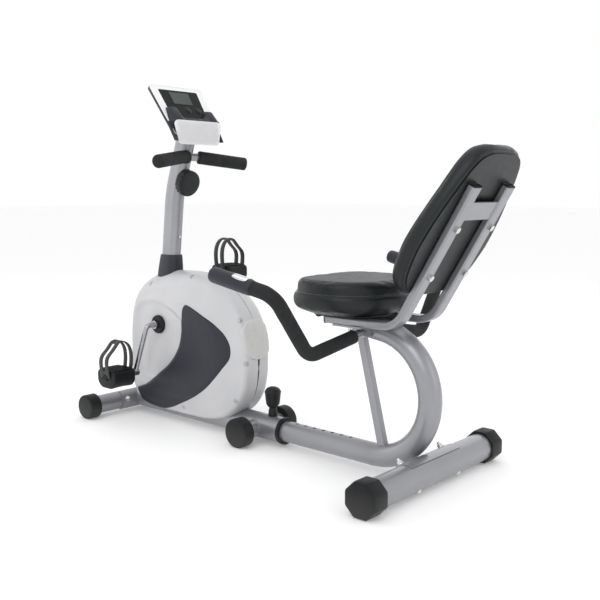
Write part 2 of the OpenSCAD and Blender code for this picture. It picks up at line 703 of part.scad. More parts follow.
module seat_path(side, more) bent([[seat_front_x + more, side * seat_rail_y, seat_z],
  [knee_x, side * seat_rail_y, seat_z], on_back(rail_end + more, 0)
  + [0, side * seat_rail_y, 0]], 70) children();
module seat_tube(side) difference() {
  seat_path(side, 0) rounded([seat_rail_t, seat_rail_w], 5.5);
  seat_path(side, 1) rounded([seat_rail_t - 4, seat_rail_w - 4], 3.5);
}
module seat_frame() at_frame() color("silver") difference() {
  union() {
    for (s = [-1, 1]) seat_tube(s);
    aligned(on_back(338, 0), [0, 1, 0], u_back, n_back)
      translate([0, 0, -6]) linear_extrude(4)
        square([2 * seat_rail_y - seat_rail_w + 3, 48], center = true);
  }
  for (s = [-1, 1], at = [158, 294]) run(on_back(at, -30) + [0, s * seat_rail_y, 0],
    on_back(at, 30) + [0, s * seat_rail_y, 0], [0, 1, 0]) circle(bolt_r);
  for (s = [-1, 1]) translate([-1000, s * seat_rail_y, 380]) cylinder(h = 60, r = bolt_r);
}
module back_bolts() at_frame() color("gainsboro") for (s = [-1, 1]) {
  for (at = [158, 294]) {
    rod(on_back(at, -18) + [0, s * seat_rail_y, 0], on_back(at, 12) + [0, s * seat_rail_y, 0],
      bolt_r);
    rod(on_back(at, -18) + [0, s * seat_rail_y, 0], on_back(at, -seat_rail_t / 2)
      + [0, s * seat_rail_y, 0], 8);
  }
  translate([-1000, s * seat_rail_y, 394]) cylinder(h = 38, r = bolt_r);
  translate([-1000, s * seat_rail_y, 393]) cylinder(h = 7, r = 7.5, $fn = 6);
}

// Cross plate under the seat tubes, cheeks beside the C-shaped tube, and the handlebar's cradle
module seat_bracket() at_frame() color("silver") difference() {
  union() {
    translate([-1046, -96, 402]) cube([92, 192, 5]);
    both_sides() y_prism(rail_r, rail_r + 4)
      polygon([[-1040, 402], [-960, 402], [-960, 372], [-1000, 366], [-1034, 372]]);
    both_sides() translate([-1036, rail_r, 376]) cube([36, 20, 26.5]);
  }
  both_sides() run(side_low, side_root + 20 * unit(side_root - side_low), [1, 0, 0])
    circle(side_bar_r);
  c_path(-900, 20) circle(rail_r);
  run(strut_low, strut_top, [0, 1, 0]) rounded([24, 20], 3);
  for (s = [-1, 1]) translate([-1000, s * seat_rail_y, 380]) cylinder(h = 60, r = bolt_r);
}

function mirrored(p) = [p[0], -p[1], p[2]];
grip_dir = unit(side_high - side_end);
module side_path(more) bent([side_end - more * grip_dir, side_high, side_low, side_root],
  45) children();
module side_bar() at_frame() color("silver") both_sides() difference() {
  side_path(0) circle(side_bar_r);
  side_path(1) circle(side_bar_r - 2);
  c_path(-900, 20) circle(rail_r);
  translate([-1200, -200, 0]) cube([400, 200.02, 600]);
}
module side_grips() at_frame() color("dimgray") both_sides() difference() {
  bent([side_end - 4 * grip_dir, side_high, side_low,
    side_low + 155 * unit(side_root - side_low)], 45) circle(side_grip_r);
  side_path(0) circle(side_bar_r);
}
// Hand-pulse housings on top of the grips, each with a bright plate
module pulse_frame(back) {
  p = side_end + back * grip_dir;
  side = across(grip_dir);
  aligned(p, grip_dir, side, cross(grip_dir, side)) children();
}
module pulse_housings() at_frame() color("dimgray") both_sides() difference() {
  pulse_frame(8) rotate([0, 90, 0]) cylinder(h = 88, r = side_grip_r + 2);
  pulse_frame(-30) rotate([0, 90, 0]) cylinder(h = 192, r = side_grip_r);
}
module pulse_plates() at_frame() color("white") both_sides() intersection() {
  difference() {
    pulse_frame(44) rotate([0, 90, 0]) cylinder(h = 42, r = side_grip_r + 3);
    pulse_frame(-30) rotate([0, 90, 0]) cylinder(h = 192, r = side_grip_r + 2);
  }
  pulse_frame(20) translate([0, -40, 11]) cube([90, 80, 40]);
}

// Seat cushion: a rounded pad, wide at its middle
module seat_plan(grow) {
  half = seat_half + grow;
  front = seat_l / 2 + grow;
  polygon([for (i = [0 : 47]) let (a = i * 7.5 + 3.75, p = cos(a) > 0 ? 0.72 : 0.95,
      c = pow(abs(cos(a)), p), s = pow(abs(sin(a)), p))
    [seat_mid_x + front * (cos(a) > 0 ? c : -c), half * (sin(a) > 0 ? s : -s)]]);
}
module seat_cushion() at_frame() color("dimgray") {
  z0 = seat_z + seat_rail_t / 2;
  translate([0, 0, z0]) linear_extrude(14) seat_plan(-20);
  translate([0, 0, z0 + 14]) linear_extrude(48) seat_plan(0);
  translate([0, 0, z0 + 62]) linear_extrude(14) seat_plan(-9);
  translate([0, 0, z0 + 76]) linear_extrude(12) seat_plan(-24);
  translate([0, 0, z0 + 88]) linear_extrude(seat_t - 88) seat_plan(-50);
}

// Half width of the back cushion at heights along the backrest
back_edge = [[84, 75], [92, 98], [115, 126], [150, 148], [190, 160], [230, 164], [290, 158],
  [340, 146], [390, 130], [430, 115], [455, 101], [472, 84], [482, 62]];
module back_plan(grow) polygon(concat(
  [for (p = back_edge) [p[1] + grow, p[0] + grow * (p[0] > 300 ? 1 : -1) * (abs(p[0] - 285) / 200)]],
  [for (i = [len(back_edge) - 1 : -1 : 0]) let (p = back_edge[i])
    [-p[1] - grow, p[0] + grow * (p[0] > 300 ? 1 : -1) * (abs(p[0] - 285) / 200)]]));
module back_cushion() at_frame() color("dimgray") {
  t0 = seat_rail_t / 2;
  aligned([knee_x, 0, seat_z] + t0 * n_back, [0, 1, 0], u_back, cross([0, 1, 0], u_back)) {
      linear_extrude(12) back_plan(-16);
      translate([0, 0, 12]) linear_extrude(back_t - 30) back_plan(0);
      translate([0, 0, back_t - 18]) linear_extrude(18) back_plan(-14);
    }
}

front_stabiliser();
front_caps();
front_bolts();
main_frame();
sleeve_bush();
mid_stabiliser();
mid_caps();
mast();
mast_bolts();
mast_boot();
shroud_left();
shroud_right();
cover_left();
cover_right();
shroud_rear_cap();
shroud_screws();
console_back();
console_face();
console_window();
circuit_board();
reading_rest();
button_left();
button_right();
upper_bar();
upper_grips();
tension_dial();
tension_housing();
pedal_spindles();
crank_axle();
crank_bearings();
drive_pulley();
crank_arm_left();
crank_arm_right();
crank_covers();
pedal_left();
pedal_right();
strap_left();
strap_right();
drive_belt();
flywheel();
flywheel_axle();
idler_wheel();
idler_arm();
magnet_bracket();
lock_knob();
lock_housing();
rear_frame();
strut();
rear_stabiliser();
rear_caps();
rear_bolts();
seat_frame();
seat_bracket();
seat_cushion();
back_cushion();
back_bolts();
side_bar();
side_grips();
pulse_housings();
pulse_plates();
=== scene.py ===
# Exercise bike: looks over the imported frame. Millimetres in the tables, metres in the scene.
import bpy
import bmesh
import bisect
import json
import math
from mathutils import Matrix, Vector, noise
from mathutils.bvhtree import BVHTree


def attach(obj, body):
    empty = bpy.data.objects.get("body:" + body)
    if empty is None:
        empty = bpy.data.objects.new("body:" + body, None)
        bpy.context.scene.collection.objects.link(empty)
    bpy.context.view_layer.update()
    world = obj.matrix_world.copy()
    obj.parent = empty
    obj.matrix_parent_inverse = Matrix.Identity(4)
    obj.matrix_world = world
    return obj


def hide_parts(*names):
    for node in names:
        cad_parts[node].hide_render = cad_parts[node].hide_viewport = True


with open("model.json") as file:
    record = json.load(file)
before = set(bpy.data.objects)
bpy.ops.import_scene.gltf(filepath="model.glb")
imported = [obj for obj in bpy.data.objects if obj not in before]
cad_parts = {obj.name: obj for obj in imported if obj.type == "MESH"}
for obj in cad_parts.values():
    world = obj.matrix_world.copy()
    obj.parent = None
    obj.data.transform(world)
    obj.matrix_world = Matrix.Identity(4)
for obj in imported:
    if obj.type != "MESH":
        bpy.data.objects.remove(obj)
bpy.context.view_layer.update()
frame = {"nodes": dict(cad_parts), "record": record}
nodes = frame["nodes"]
scene = bpy.context.scene
FRONT = 670.0
MM = 0.001
SIDES = ((1, "left"), (-1, "right"))
DOT = 0.01  # radius of a lathe's end points


def P(x, y, z):
    """Scene point of a place in mm, with x from the front stabiliser's axis."""
    return Vector(((FRONT + x) * MM, y * MM, z * MM))


def rad(a):
    return math.radians(a)


def lerp_table(table, x):
    """Smooth interpolation through (x, y) pairs."""
    if x <= table[0][0]:
        return table[0][1]
    for (a, u), (b, v) in zip(table, table[1:]):
        if x <= b:
            t = (x - a) / (b - a)
            return u + (v - u) * t * t * (3 - 2 * t) if abs(v - u) > 6 else u + (v - u) * t
    return table[-1][1]


def step(a, b, x):
    """Smooth step from 0 at a to 1 at b."""
    t = min(max((x - a) / (b - a), 0), 1)
    return t * t * (3 - 2 * t)


def bowed(c, power):
    """A cosine or sine raised to a power with its sign kept, for squarish ovals."""
    return (abs(c) ** power) * (1 if c > 0 else -1)


# ---------- materials ----------
def material(name, color, rough, metal=0.0, coat=0.0, vary=0.12, vary_scale=9.0, grain=0.0,
             grain_scale=500.0, grain_kind="noise", rough_vary=0.12, spec=0.5, stretch=None,
             dust=0.0, depth=0.0004, second=None, coat_rough=0.12):
    """Principled look with mottled colour, varied roughness and a fine bump of the given kind."""
    m = bpy.data.materials.new(name)
    m.use_nodes = True
    t = m.node_tree
    link = t.links.new
    b = t.nodes["Principled BSDF"]

    def node(kind, **values):
        n = t.nodes.new("ShaderNode" + kind)
        for key, value in values.items():
            n.inputs[key.replace("_", " ")].default_value = value
        return n

    def colour_mix(factor, first, second_colour):
        n = node("Mix")
        n.data_type = "RGBA"
        for socket, value in ((0, factor), (6, first), (7, second_colour)):
            if isinstance(value, bpy.types.NodeSocket):
                link(value, n.inputs[socket])
            else:
                n.inputs[socket].default_value = value
        return n.outputs[2]

    b.inputs["Metallic"].default_value = metal
    b.inputs["Coat Weight"].default_value = coat
    b.inputs["Coat Roughness"].default_value = coat_rough
    b.inputs["Specular IOR Level"].default_value = spec
    where = node("TexCoord")
    big = node("TexNoise", Scale=vary_scale, Detail=6)
    link(where.outputs["Object"], big.inputs["Vector"])
    ramp = node("ValToRGB")
    dark = [c * (1 - vary) for c in color]
    light = [min(c * (1 + vary * 0.7), 1) for c in (second or color)]
    ramp.color_ramp.elements[0].position = 0.3
    ramp.color_ramp.elements[1].position = 0.72
    ramp.color_ramp.elements[0].color = (*dark, 1)
    ramp.color_ramp.elements[1].color = (*light, 1)
    link(big.outputs["Fac"], ramp.inputs["Fac"])
    last = ramp.outputs["Color"]
    if dust:
        split = node("SeparateXYZ")
        link(where.outputs["Object"], split.inputs["Vector"])
        low = node("MapRange", From_Min=0.0, From_Max=0.07, To_Min=dust, To_Max=0.0)
        link(split.outputs["Z"], low.inputs["Value"])
        last = colour_mix(low.outputs["Result"], last, (0.32, 0.31, 0.30, 1))
    link(last, b.inputs["Base Color"])
    fine = node("TexNoise", Scale=60, Detail=5)
    grain_at = where.outputs["Object"]
    if stretch:
        mapping = node("Mapping", Scale=stretch)
        link(grain_at, mapping.inputs["Vector"])
        grain_at = mapping.outputs["Vector"]
    link(grain_at, fine.inputs["Vector"])
    spread = node("MapRange", From_Min=0.25, From_Max=0.75, To_Min=max(rough - rough_vary, 0.02),
                  To_Max=min(rough + rough_vary, 1))
    link(fine.outputs["Fac"], spread.inputs["Value"])
    link(spread.outputs["Result"], b.inputs["Roughness"])
    if grain:
        bump = node("Bump", Strength=grain, Distance=depth)
        if grain_kind == "leather":
            g = node("TexVoronoi", Scale=grain_scale)
            g.feature = "DISTANCE_TO_EDGE"
            wob = node("TexNoise", Scale=grain_scale * 0.5)
            link(where.outputs["Object"], wob.inputs["Vector"])
            wobbled = colour_mix(0.006, where.outputs["Object"], wob.outputs["Color"])
            link(wobbled, g.inputs["Vector"])
            crush = node("MapRange", From_Min=0.0, From_Max=0.16)
            link(g.outputs["Distance"], crush.inputs["Value"])
            link(crush.outputs["Result"], bump.inputs["Height"])
        elif grain_kind == "foam":
            g = node("TexVoronoi", Scale=grain_scale)
            link(where.outputs["Object"], g.inputs["Vector"])
            link(g.outputs["Distance"], bump.inputs["Height"])
        else:
            g = node("TexNoise", Scale=grain_scale, Detail=3)
            link(grain_at, g.inputs["Vector"])
            link(g.outputs["Fac"], bump.inputs["Height"])
        link(bump.outputs["Normal"], b.inputs["Normal"])
    return m


SILVER = material("silver_enamel", (0.295, 0.298, 0.318), 0.36, metal=0.62, coat=0.35, vary=0.06,
                  grain=0.10, grain_scale=900, rough_vary=0.05, dust=0.10, depth=0.0002)
BAR = material("bar_enamel", (0.29, 0.29, 0.30), 0.34, metal=0.75, coat=0.3, vary=0.05,
               grain=0.08, grain_scale=900, rough_vary=0.05, depth=0.0002)
BLACK = material("black_plastic", (0.009, 0.010, 0.011), 0.48, spec=0.22, vary=0.25, grain=0.35,
                 grain_scale=1100, rough_vary=0.08, dust=0.10)
CHARCOAL = material("charcoal_plastic", (0.017, 0.020, 0.029), 0.42, spec=0.32, vary=0.14, grain=0.25,
                    grain_scale=1300, rough_vary=0.07, coat=0.07, coat_rough=0.3)
WHITE = material("white_shell", (0.50, 0.503, 0.52), 0.36, vary=0.02, grain=0.06,
                 grain_scale=700, rough_vary=0.05, coat=0.25, second=(0.53, 0.53, 0.545))
PEARL = material("pearl_pad", (0.53, 0.53, 0.52), 0.30, vary=0.015, grain=0.05, metal=0.0,
                 grain_scale=800, rough_vary=0.05, coat=0.4, vary_scale=30)
FACE = material("console_white", (0.80, 0.80, 0.81), 0.34, vary=0.02, grain=0.12,
                grain_scale=1500, rough_vary=0.05, coat=0.2)
REST = material("rest_white", (0.76, 0.76, 0.77), 0.42, vary=0.03, grain=0.14,
                grain_scale=1500, rough_vary=0.06)
GLASS = material("dark_window", (0.006, 0.008, 0.008), 0.20, vary=0.3, rough_vary=0.05,
                 coat=0.08, coat_rough=0.05, spec=0.16, grain=0.03, grain_scale=60)
LCD = material("lcd_panel", (0.062, 0.082, 0.074), 0.24, spec=0.2, vary=0.12, rough_vary=0.04, coat=0.08,
               coat_rough=0.06, vary_scale=25)
KEY = material("key_plastic", (0.012, 0.013, 0.015), 0.34, spec=0.3, vary=0.15, grain=0.15,
               grain_scale=1500, coat=0.08)
FOAM = material("foam_grip", (0.013, 0.014, 0.015), 0.78, vary=0.3, grain=0.9, grain_scale=620,
                grain_kind="foam", rough_vary=0.08, vary_scale=24, depth=0.0006, spec=0.35)
CHROME = material("chrome", (0.80, 0.80, 0.82), 0.12, metal=1.0, vary=0.04, rough_vary=0.05,
                  grain=0.04, grain_scale=200)
CRANK = material("polished_crank", (0.42, 0.42, 0.44), 0.20, metal=1.0, vary=0.16,
                 rough_vary=0.08, grain=0.10, grain_scale=260, stretch=(4, 4, 0.25))
STEEL = material("machined_steel", (0.52, 0.52, 0.53), 0.34, metal=1.0, vary=0.10,
                 rough_vary=0.12, grain=0.15, grain_scale=300, stretch=(1, 0.2, 1))
ZINC = material("zinc_bolt", (0.66, 0.66, 0.65), 0.26, metal=1.0, vary=0.12, rough_vary=0.1,
                vary_scale=70, grain=0.08, grain_scale=400)
IRON = material("flywheel_iron", (0.20, 0.20, 0.21), 0.5, metal=0.85, vary=0.25,
                grain=0.4, grain_scale=500, rough_vary=0.12)
RUBBER = material("strap_rubber", (0.020, 0.022, 0.022), 0.55, vary=0.25, grain=0.35,
                  grain_scale=900, rough_vary=0.1)
VINYL = material("seat_vinyl", (0.009, 0.012, 0.013), 0.36, spec=0.24, vary=0.16, grain=0.28,
                 grain_scale=420, grain_kind="leather", rough_vary=0.06, coat=0.12,
                 coat_rough=0.28, depth=0.0003, vary_scale=5)
# Lighter, bluer copy of the seat vinyl for faces turned up or forwards: painted light, standing in for the
# light on the cushions' top and front panels.
VINYL_PAINTED_LIT = material("seat_vinyl_painted_lit", (0.014, 0.018, 0.021), 0.46, spec=0.28, vary=0.12, grain=0.30,
                     grain_scale=420, grain_kind="leather", rough_vary=0.06, coat=0.10,
                     coat_rough=0.3, depth=0.0003, vary_scale=5)
PIPING = material("piping_vinyl", (0.013, 0.015, 0.017), 0.30, spec=0.35, vary=0.15, grain=0.2,
                  grain_scale=700, coat=0.35, coat_rough=0.2)
BOARD = material("seat_board", (0.018, 0.019, 0.021), 0.7, vary=0.3, grain=0.6,
                 grain_scale=260, rough_vary=0.1, stretch=(1, 0.3, 1))
GREEN = material("board_green", (0.03, 0.16, 0.06), 0.4, vary=0.25, vary_scale=90, grain=0.2,
                 grain_scale=500)
DIAL = material("dial_plastic", (0.011, 0.014, 0.014), 0.42, spec=0.25, vary=0.18, grain=0.3,
                grain_scale=1200, rough_vary=0.07)

LOOKS = {
    "painted_frame": SILVER, "cap_plastic": BLACK, "bolt_steel": ZINC,
    "charcoal_plastic": CHARCOAL, "shroud_plastic": WHITE, "cover_plastic": CHARCOAL,
    "pearl_plastic": PEARL, "screw_steel": ZINC, "console_dark": CHARCOAL,
    "console_light": FACE, "window_gloss": GLASS, "board": GREEN, "rest_plastic": REST,
    "key_plastic": KEY, "bar_steel": BAR, "foam": FOAM, "dial_plastic": DIAL,
    "polished_steel": CRANK, "bearing_steel": STEEL, "pulley_plastic": BLACK,
    "pedal_plastic": BLACK, "strap_rubber": RUBBER, "belt_rubber": RUBBER,
    "flywheel_iron": IRON, "knob_plastic": DIAL, "seat_vinyl": VINYL,
    "housing_plastic": CHARCOAL, "pulse_chrome": CHROME,
}
for part in frame["record"]["subparts"]:
    thing = nodes[part["node"]]
    thing.data.materials.clear()
    thing.data.materials.append(LOOKS[part["material_slot"]])


# ---------- mesh helpers ----------
def piece(name, verts, faces, body, slot, look, replaces=(), angle=38, smooth=True):
    me = bpy.data.meshes.new(name)
    me.from_pydata([tuple(v) for v in verts], [], faces)
    bm = bmesh.new()
    bm.from_mesh(me)
    bmesh.ops.remove_doubles(bm, verts=bm.verts, dist=0.00002)
    bmesh.ops.recalc_face_normals(bm, faces=bm.faces)
    bm.to_mesh(me)
    bm.free()
    me.polygons.foreach_set("use_smooth", [smooth] * len(me.polygons))
    if smooth and angle < 180:
        me.set_sharp_from_angle(angle=rad(angle))
    me.materials.append(look)
    ob = bpy.data.objects.new(name, me)
    scene.collection.objects.link(ob)
    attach(ob, body)
    if replaces:
        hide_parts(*replaces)
    return ob


def skin(rings, close=True, caps=True):
    n = len(rings[0])
    verts = [p for r in rings for p in r]
    faces = []
    for i in range(len(rings) - 1):
        for j in range(n if close else n - 1):
            k = (j + 1) % n
            faces.append((i * n + j, i * n + k, (i + 1) * n + k, (i + 1) * n + j))
    if caps:
        faces.append(tuple(range(n - 1, -1, -1)))
        faces.append(tuple((len(rings) - 1) * n + j for j in range(n)))
    return verts, faces


def join(*parts):
    verts, faces = [], []
    for v, f in parts:
        base = len(verts)
        verts += v
        faces += [tuple(i + base for i in face) for face in f]
    return verts, faces


def across(d):
    y = Vector((0, 1, 0))
    return Vector((1, 0, 0)).cross(d).normalized() * -1 if abs(d.y) > 0.9 else (y - d.y * d).normalized()


def frames(path):
    """Tangent and side along a path, turned with the least twist."""
    tangents = []
    for i in range(len(path)):
        a, b = path[max(i - 1, 0)], path[min(i + 1, len(path) - 1)]
        tangents.append((b - a).normalized())
    side = across(tangents[0])
    out = []
    for d in tangents:
        side = (side - side.dot(d) * d).normalized()
        out.append((d, side, d.cross(side)))
    return out


def sweep(path, section, close=False):
    """section(i, n) gives 2D points in metres along (side, up) for path point i."""
    n = len(path)
    rings = []
    for i, (p, (d, s, u)) in enumerate(zip(path, frames(path))):
        rings.append([p + s * a + u * b for a, b in section(i, n)])
    if close:
        rings.append(rings[0])
        return skin(rings, caps=False)
    return skin(rings)


def circle(r, n=32):
    return [(r * math.cos(2 * math.pi * j / n), r * math.sin(2 * math.pi * j / n)) for j in range(n)]


def bent(points, radius, pitch=6.0):
    """Points in mm through straight lines joined by arcs; returns row-frame points."""
    pts = [Vector(p) for p in points]
    out = []

    def line(a, b):
        n = max(int((b - a).length / pitch), 1)
        for i in range(n):
            out.append(a + (b - a) * i / n)

    last = pts[0]
    for i in range(1, len(pts) - 1):
        a, b = (pts[i] - pts[i - 1]).normalized(), (pts[i + 1] - pts[i]).normalized()
        turn = a.angle(b)
        trim = radius * math.tan(turn / 2)
        start = pts[i] - a * trim
        line(last, start)
        inward = (b - b.dot(a) * a).normalized()
        middle = start + inward * radius
        n = max(int(turn * radius / pitch), 4)
        for k in range(n):
            q = turn * k / n
            out.append(middle - inward * radius * math.cos(q) + a * radius * math.sin(q))
        last = pts[i] + b * trim
    line(last, pts[-1])
    out.append(pts[-1])
    return [P(*p) for p in out]


def resample(path, pitch):
    out = [path[0]]
    for a, b in zip(path, path[1:]):
        n = max(int((b - a).length / pitch), 1)
        for i in range(1, n + 1):
            out.append(a + (b - a) * i / n)
    return out


def round_tube(path, r, end=6.0, n=40, wobble=0.0):
    """Round bar of radius r mm with rounded ends."""
    total = [0]
    for a, b in zip(path, path[1:]):
        total.append(total[-1] + (b - a).length * 1000)
    # add close rings near the ends
    dense = [path[0]]
    for k in (0.06, 0.2, 0.42, 0.7, 1.0):
        dense.append(path[0] + (path[1] - path[0]).normalized() * end * k * MM)
    dense += [p for p, t in zip(path, total) if end + 1 < t < total[-1] - end - 1]
    for k in (1.0, 0.7, 0.42, 0.2, 0.06):
        dense.append(path[-1] + (path[-2] - path[-1]).normalized() * end * k * MM)
    dense.append(path[-1])

    def section(i, count):
        away = min(i, count - 1 - i)
        if away < 6:
            t = (0, 0.06, 0.2, 0.42, 0.7, 1.0)[away]
            rr = r - end + end * math.sqrt(max(1 - (1 - t) ** 2, 0))
        else:
            rr = r
        if wobble:
            rr += wobble * noise.noise(dense[i] * 40)
        return circle(rr * MM, n)
    return sweep(dense, section)


def lathe(origin, axis, profile, n=64, flute=None):
    """profile: (distance along axis, radius) in mm from origin. flute(a, x) scales the radius."""
    axis = Vector(axis).normalized()
    side = across(axis)
    up = axis.cross(side)
    rings = []
    for x, r in profile:
        ring = []
        for j in range(n):
            a = 2 * math.pi * j / n
            rr = max(r, DOT) * (flute(a, x) if flute else 1)
            ring.append(origin + axis * x * MM + (side * math.cos(a) + up * math.sin(a)) * rr * MM)
        rings.append(ring)
    return skin(rings)


def edge_profile(x0, x1, r, round0, round1, steps=5):
    """A plain cylinder's profile with rounded ends."""
    out = [(x0, DOT), (x0, r - round0)]
    for i in range(1, steps + 1):
        a = math.pi / 2 * i / steps
        out.append((x0 + round0 * (1 - math.cos(a)), r - round0 + round0 * math.sin(a)))
    for i in range(steps + 1):
        a = math.pi / 2 * i / steps
        out.append((x1 - round1 * (1 - math.sin(a)), r - round1 + round1 * math.cos(a)))
    out.append((x1, DOT))
    return out


def modified(ob, *mods):
    """Adds modifiers (type, {settings}) and applies them."""
    for kind, values in mods:
        m = ob.modifiers.new(kind.lower(), kind)
        for k, v in values.items():
            setattr(m, k, v)
    bpy.context.view_layer.update()
    dg = bpy.context.evaluated_depsgraph_get()
    me = bpy.data.meshes.new_from_object(ob.evaluated_get(dg))
    ob.modifiers.clear()
    ob.data = me
    return ob


def plate(outline, place, t0, t1, edge=1.2, hole=None, steps=3):
    """Flat plate with rounded edges. outline: 2D points in mm; place(u, v, t) -> row frame."""
    def shrink(pts, by):
        out = []
        n = len(pts)
        for i in range(n):
            a, b = Vector(pts[i - 1]), Vector(pts[(i + 1) % n])
            d = (b - a).normalized()
            out.append((pts[i][0] - d.y * by, pts[i][1] + d.x * by))
        return out

    def rings(pts, sign):
        made = []
        for i in range(steps + 1):
            a = math.pi / 2 * i / steps
            made.append([place(u, v, t0 + edge * (1 - math.cos(a)))
                         for u, v in shrink(pts, sign * edge * (1 - math.sin(a)))])
        for i in range(steps + 1):
            a = math.pi / 2 * i / steps
            made.append([place(u, v, t1 - edge * (1 - math.cos(a)))
                         for u, v in shrink(pts, sign * edge * (1 - math.cos(a)))])
        return made
    outer = rings(outline, 1)
    if hole is None:
        return skin(outer)
    inner = rings(hole, -1)
    return skin(outer + inner[::-1] + outer[:1], caps=False)


def corner_loop(top, low, length, r, n=7):
    """Plate outline: half widths at its upper and lower edges, anticlockwise."""
    out = []
    for cx, cy, start in ((top - r, length / 2 - r, 0), (r - top, length / 2 - r, 90),
                          (r - low, r - length / 2, 180), (low - r, r - length / 2, 270)):
        for i in range(n):
            a = rad(start + 90 * i / (n - 1))
            out.append((cx + r * math.cos(a), cy + r * math.sin(a)))
    return out


# ---------- caps and lock knob ---------
def floor_clip(verts):
    return [Vector((v.x, v.y, max(v.z, 0.0))) for v in verts]


for name, x, z, half, length, r, node in (
        ("front_cap", 0, 39, 224, 42, 40, "front_caps"), ("middle_cap", -600, 43, 114, 38, 44, "mid_caps")):
    for s, side in SIDES:
        prof = edge_profile(0, length, r, 2.5, 6.0)
        prof = [(0, 26.5)] + prof[1:]
        v, f = lathe(P(x, s * (half - length), z), (0, s, 0), prof, 72)
        ob = piece(f"{name}_{side}", floor_clip(v), f, "front_frame", "cap_plastic", BLACK,
                   [node] if s > 0 else ())
for s, side in SIDES:
    rings = []
    for y, grow in ((246, -14), (246, -2.5), (247, -0.8), (249, 0), (293, 0), (297, -0.7),
                    (300, -2.4), (301.6, -5), (302, -9), (302, -30)):
        ring = []
        for j in range(64):
            a = 2 * math.pi * j / 64
            flat = 44 / math.cos(((a - rad(22.5)) % rad(45)) - rad(22.5))
            rr = min(flat, 47.0) + grow
            ring.append(P(-1203 + rr * math.sin(a), s * y, 44 + rr * math.cos(a)))
        rings.append(ring)
    v, f = skin(rings)
    piece(f"rear_cap_{side}", floor_clip(v), f, "carriage", "cap_plastic", BLACK,
          ["rear_caps"] if s > 0 else (), angle=28)

ribs = [(0, 12), (1, 14.5), (3, 16), (6, 17.5), (9, 19.6), (14, 20.9)]
ribs += [(16 + 5 * i + k, 21.2 + 0.55 * i + d) for i in range(6) for k, d in
         ((0, 0), (0.8, -0.9), (1.8, -0.9), (2.6, 0.2))]
ribs += [(46.5, 25.1), (48.6, 24.2), (50, 23.3), (52, 22.4), (55, 20.4), (58, 17), (60.5, 12),
         (62, 6.5), (62.6, DOT)]
piece("lock_knob_body", *lathe(P(-647, 0, 110.4), (0, 0, 1), [(0, DOT)] + ribs, 64), "lock_pin",
      "knob_plastic", DIAL, angle=50)
piece("lock_knob_stem", *lathe(P(-647, 0, 77.4), (0, 0, 1), [(0, DOT), (0, 4.2), (1, 5), (34, 5),
      (34, DOT)], 32), "lock_pin", "knob_plastic", CHROME, ["lock_knob"])
piece("lock_collar", *lathe(P(-647, 0, 79), (0, 0, 1), [(0, 5.1), (0, 10.3), (5, 10.3), (5, 13.5),
      (7, 14.4), (24, 12.6), (26, 11.6), (30, 11), (31, 10), (31, 5.1)], 48), "front_frame",
      "knob_plastic", DIAL, ["lock_housing"])


# ---------- shroud ----------
CX, CZ = -305.0, 264.0


def outline(a):
    c, s = math.cos(a), math.sin(a)
    power = (0.38 if s < 0 else 0.68) if c > 0 else (0.68 if s < 0 else 0.94)
    cc, ss = abs(c) ** power, abs(s) ** power
    return (CX + (278 * cc if c > 0 else -285 * cc), CZ + 233 * (-ss if s < 0 else ss))


# rounding of the rim by direction: degrees, depth in mm, squareness
RIM = [(0, 18, 2.8), (30, 34, 2.3), (58, 60, 1.6), (80, 50, 1.9), (110, 36, 2.6), (150, 28, 3.6),
       (215, 28, 3.8), (250, 18, 3.0), (270, 14, 2.5), (300, 12, 2.5), (330, 14, 2.8), (360, 18, 2.8)]
BULGE = [(0, 69.6), (0.5, 69.6), (0.6, 68.6), (0.68, 64.6), (0.76, 59.4), (0.86, 55.8), (0.92, 53)]


def half_width(x, z, recess=True):
    """Half width in mm of the shroud at a point of its side."""
    dx, dz = x - CX, z - CZ
    a = shape_angle(dx, dz)
    ox, oz = outline(a)
    big = math.hypot(ox - CX, oz - CZ)
    rho = min(math.hypot(dx, dz) / big, 1)
    y = lerp_table(BULGE, rho)
    away = (1 - rho) * big
    turn = math.degrees(math.atan2(dz, dx)) % 360
    k = next(i for i in range(1, len(RIM)) if turn <= RIM[i][0])
    w = (turn - RIM[k - 1][0]) / (RIM[k][0] - RIM[k - 1][0])
    depth, square = (RIM[k - 1][i] + (RIM[k][i] - RIM[k - 1][i]) * w for i in (1, 2))
    t = 1 - min(away / depth, 1)
    y *= max(1 - t ** square, 0) ** (1 / square)
    if not recess:
        return max(y, 0)
    # recess round the crank, under a soft ridge
    q = math.hypot((x + 180) / 185, (z - 250) / 148)
    deep = step(1.0, 0.90, q) * step(1.0, 0.955, math.hypot(x + 166, z - 318) / 178)
    ridge = math.exp(-((q - 1.02) / 0.05) ** 2) * 1.6
    fade = step(0.95, 0.8, rho)
    return max(y - 6.5 * deep * fade + ridge * fade, 0)


TABLE = []
for i in range(1440):
    ang = 2 * math.pi * i / 1440
    px, pz = outline(ang)
    TABLE.append((math.atan2(pz - CZ, px - CX) % (2 * math.pi), ang))
TABLE.sort()


def shape_angle(dx, dz):
    """Outline parameter of the ray through (dx, dz)."""
    t = math.atan2(dz, dx) % (2 * math.pi)
    i = bisect.bisect_left(TABLE, (t, 0))
    b = TABLE[i % len(TABLE)]
    a = TABLE[i - 1]
    gap = (b[0] - a[0]) % (2 * math.pi)
    near = (t - a[0]) % (2 * math.pi)
    w = (b[1] - a[1]) % (2 * math.pi)
    return a[1] + w * (near / gap if gap > 1e-9 else 0)


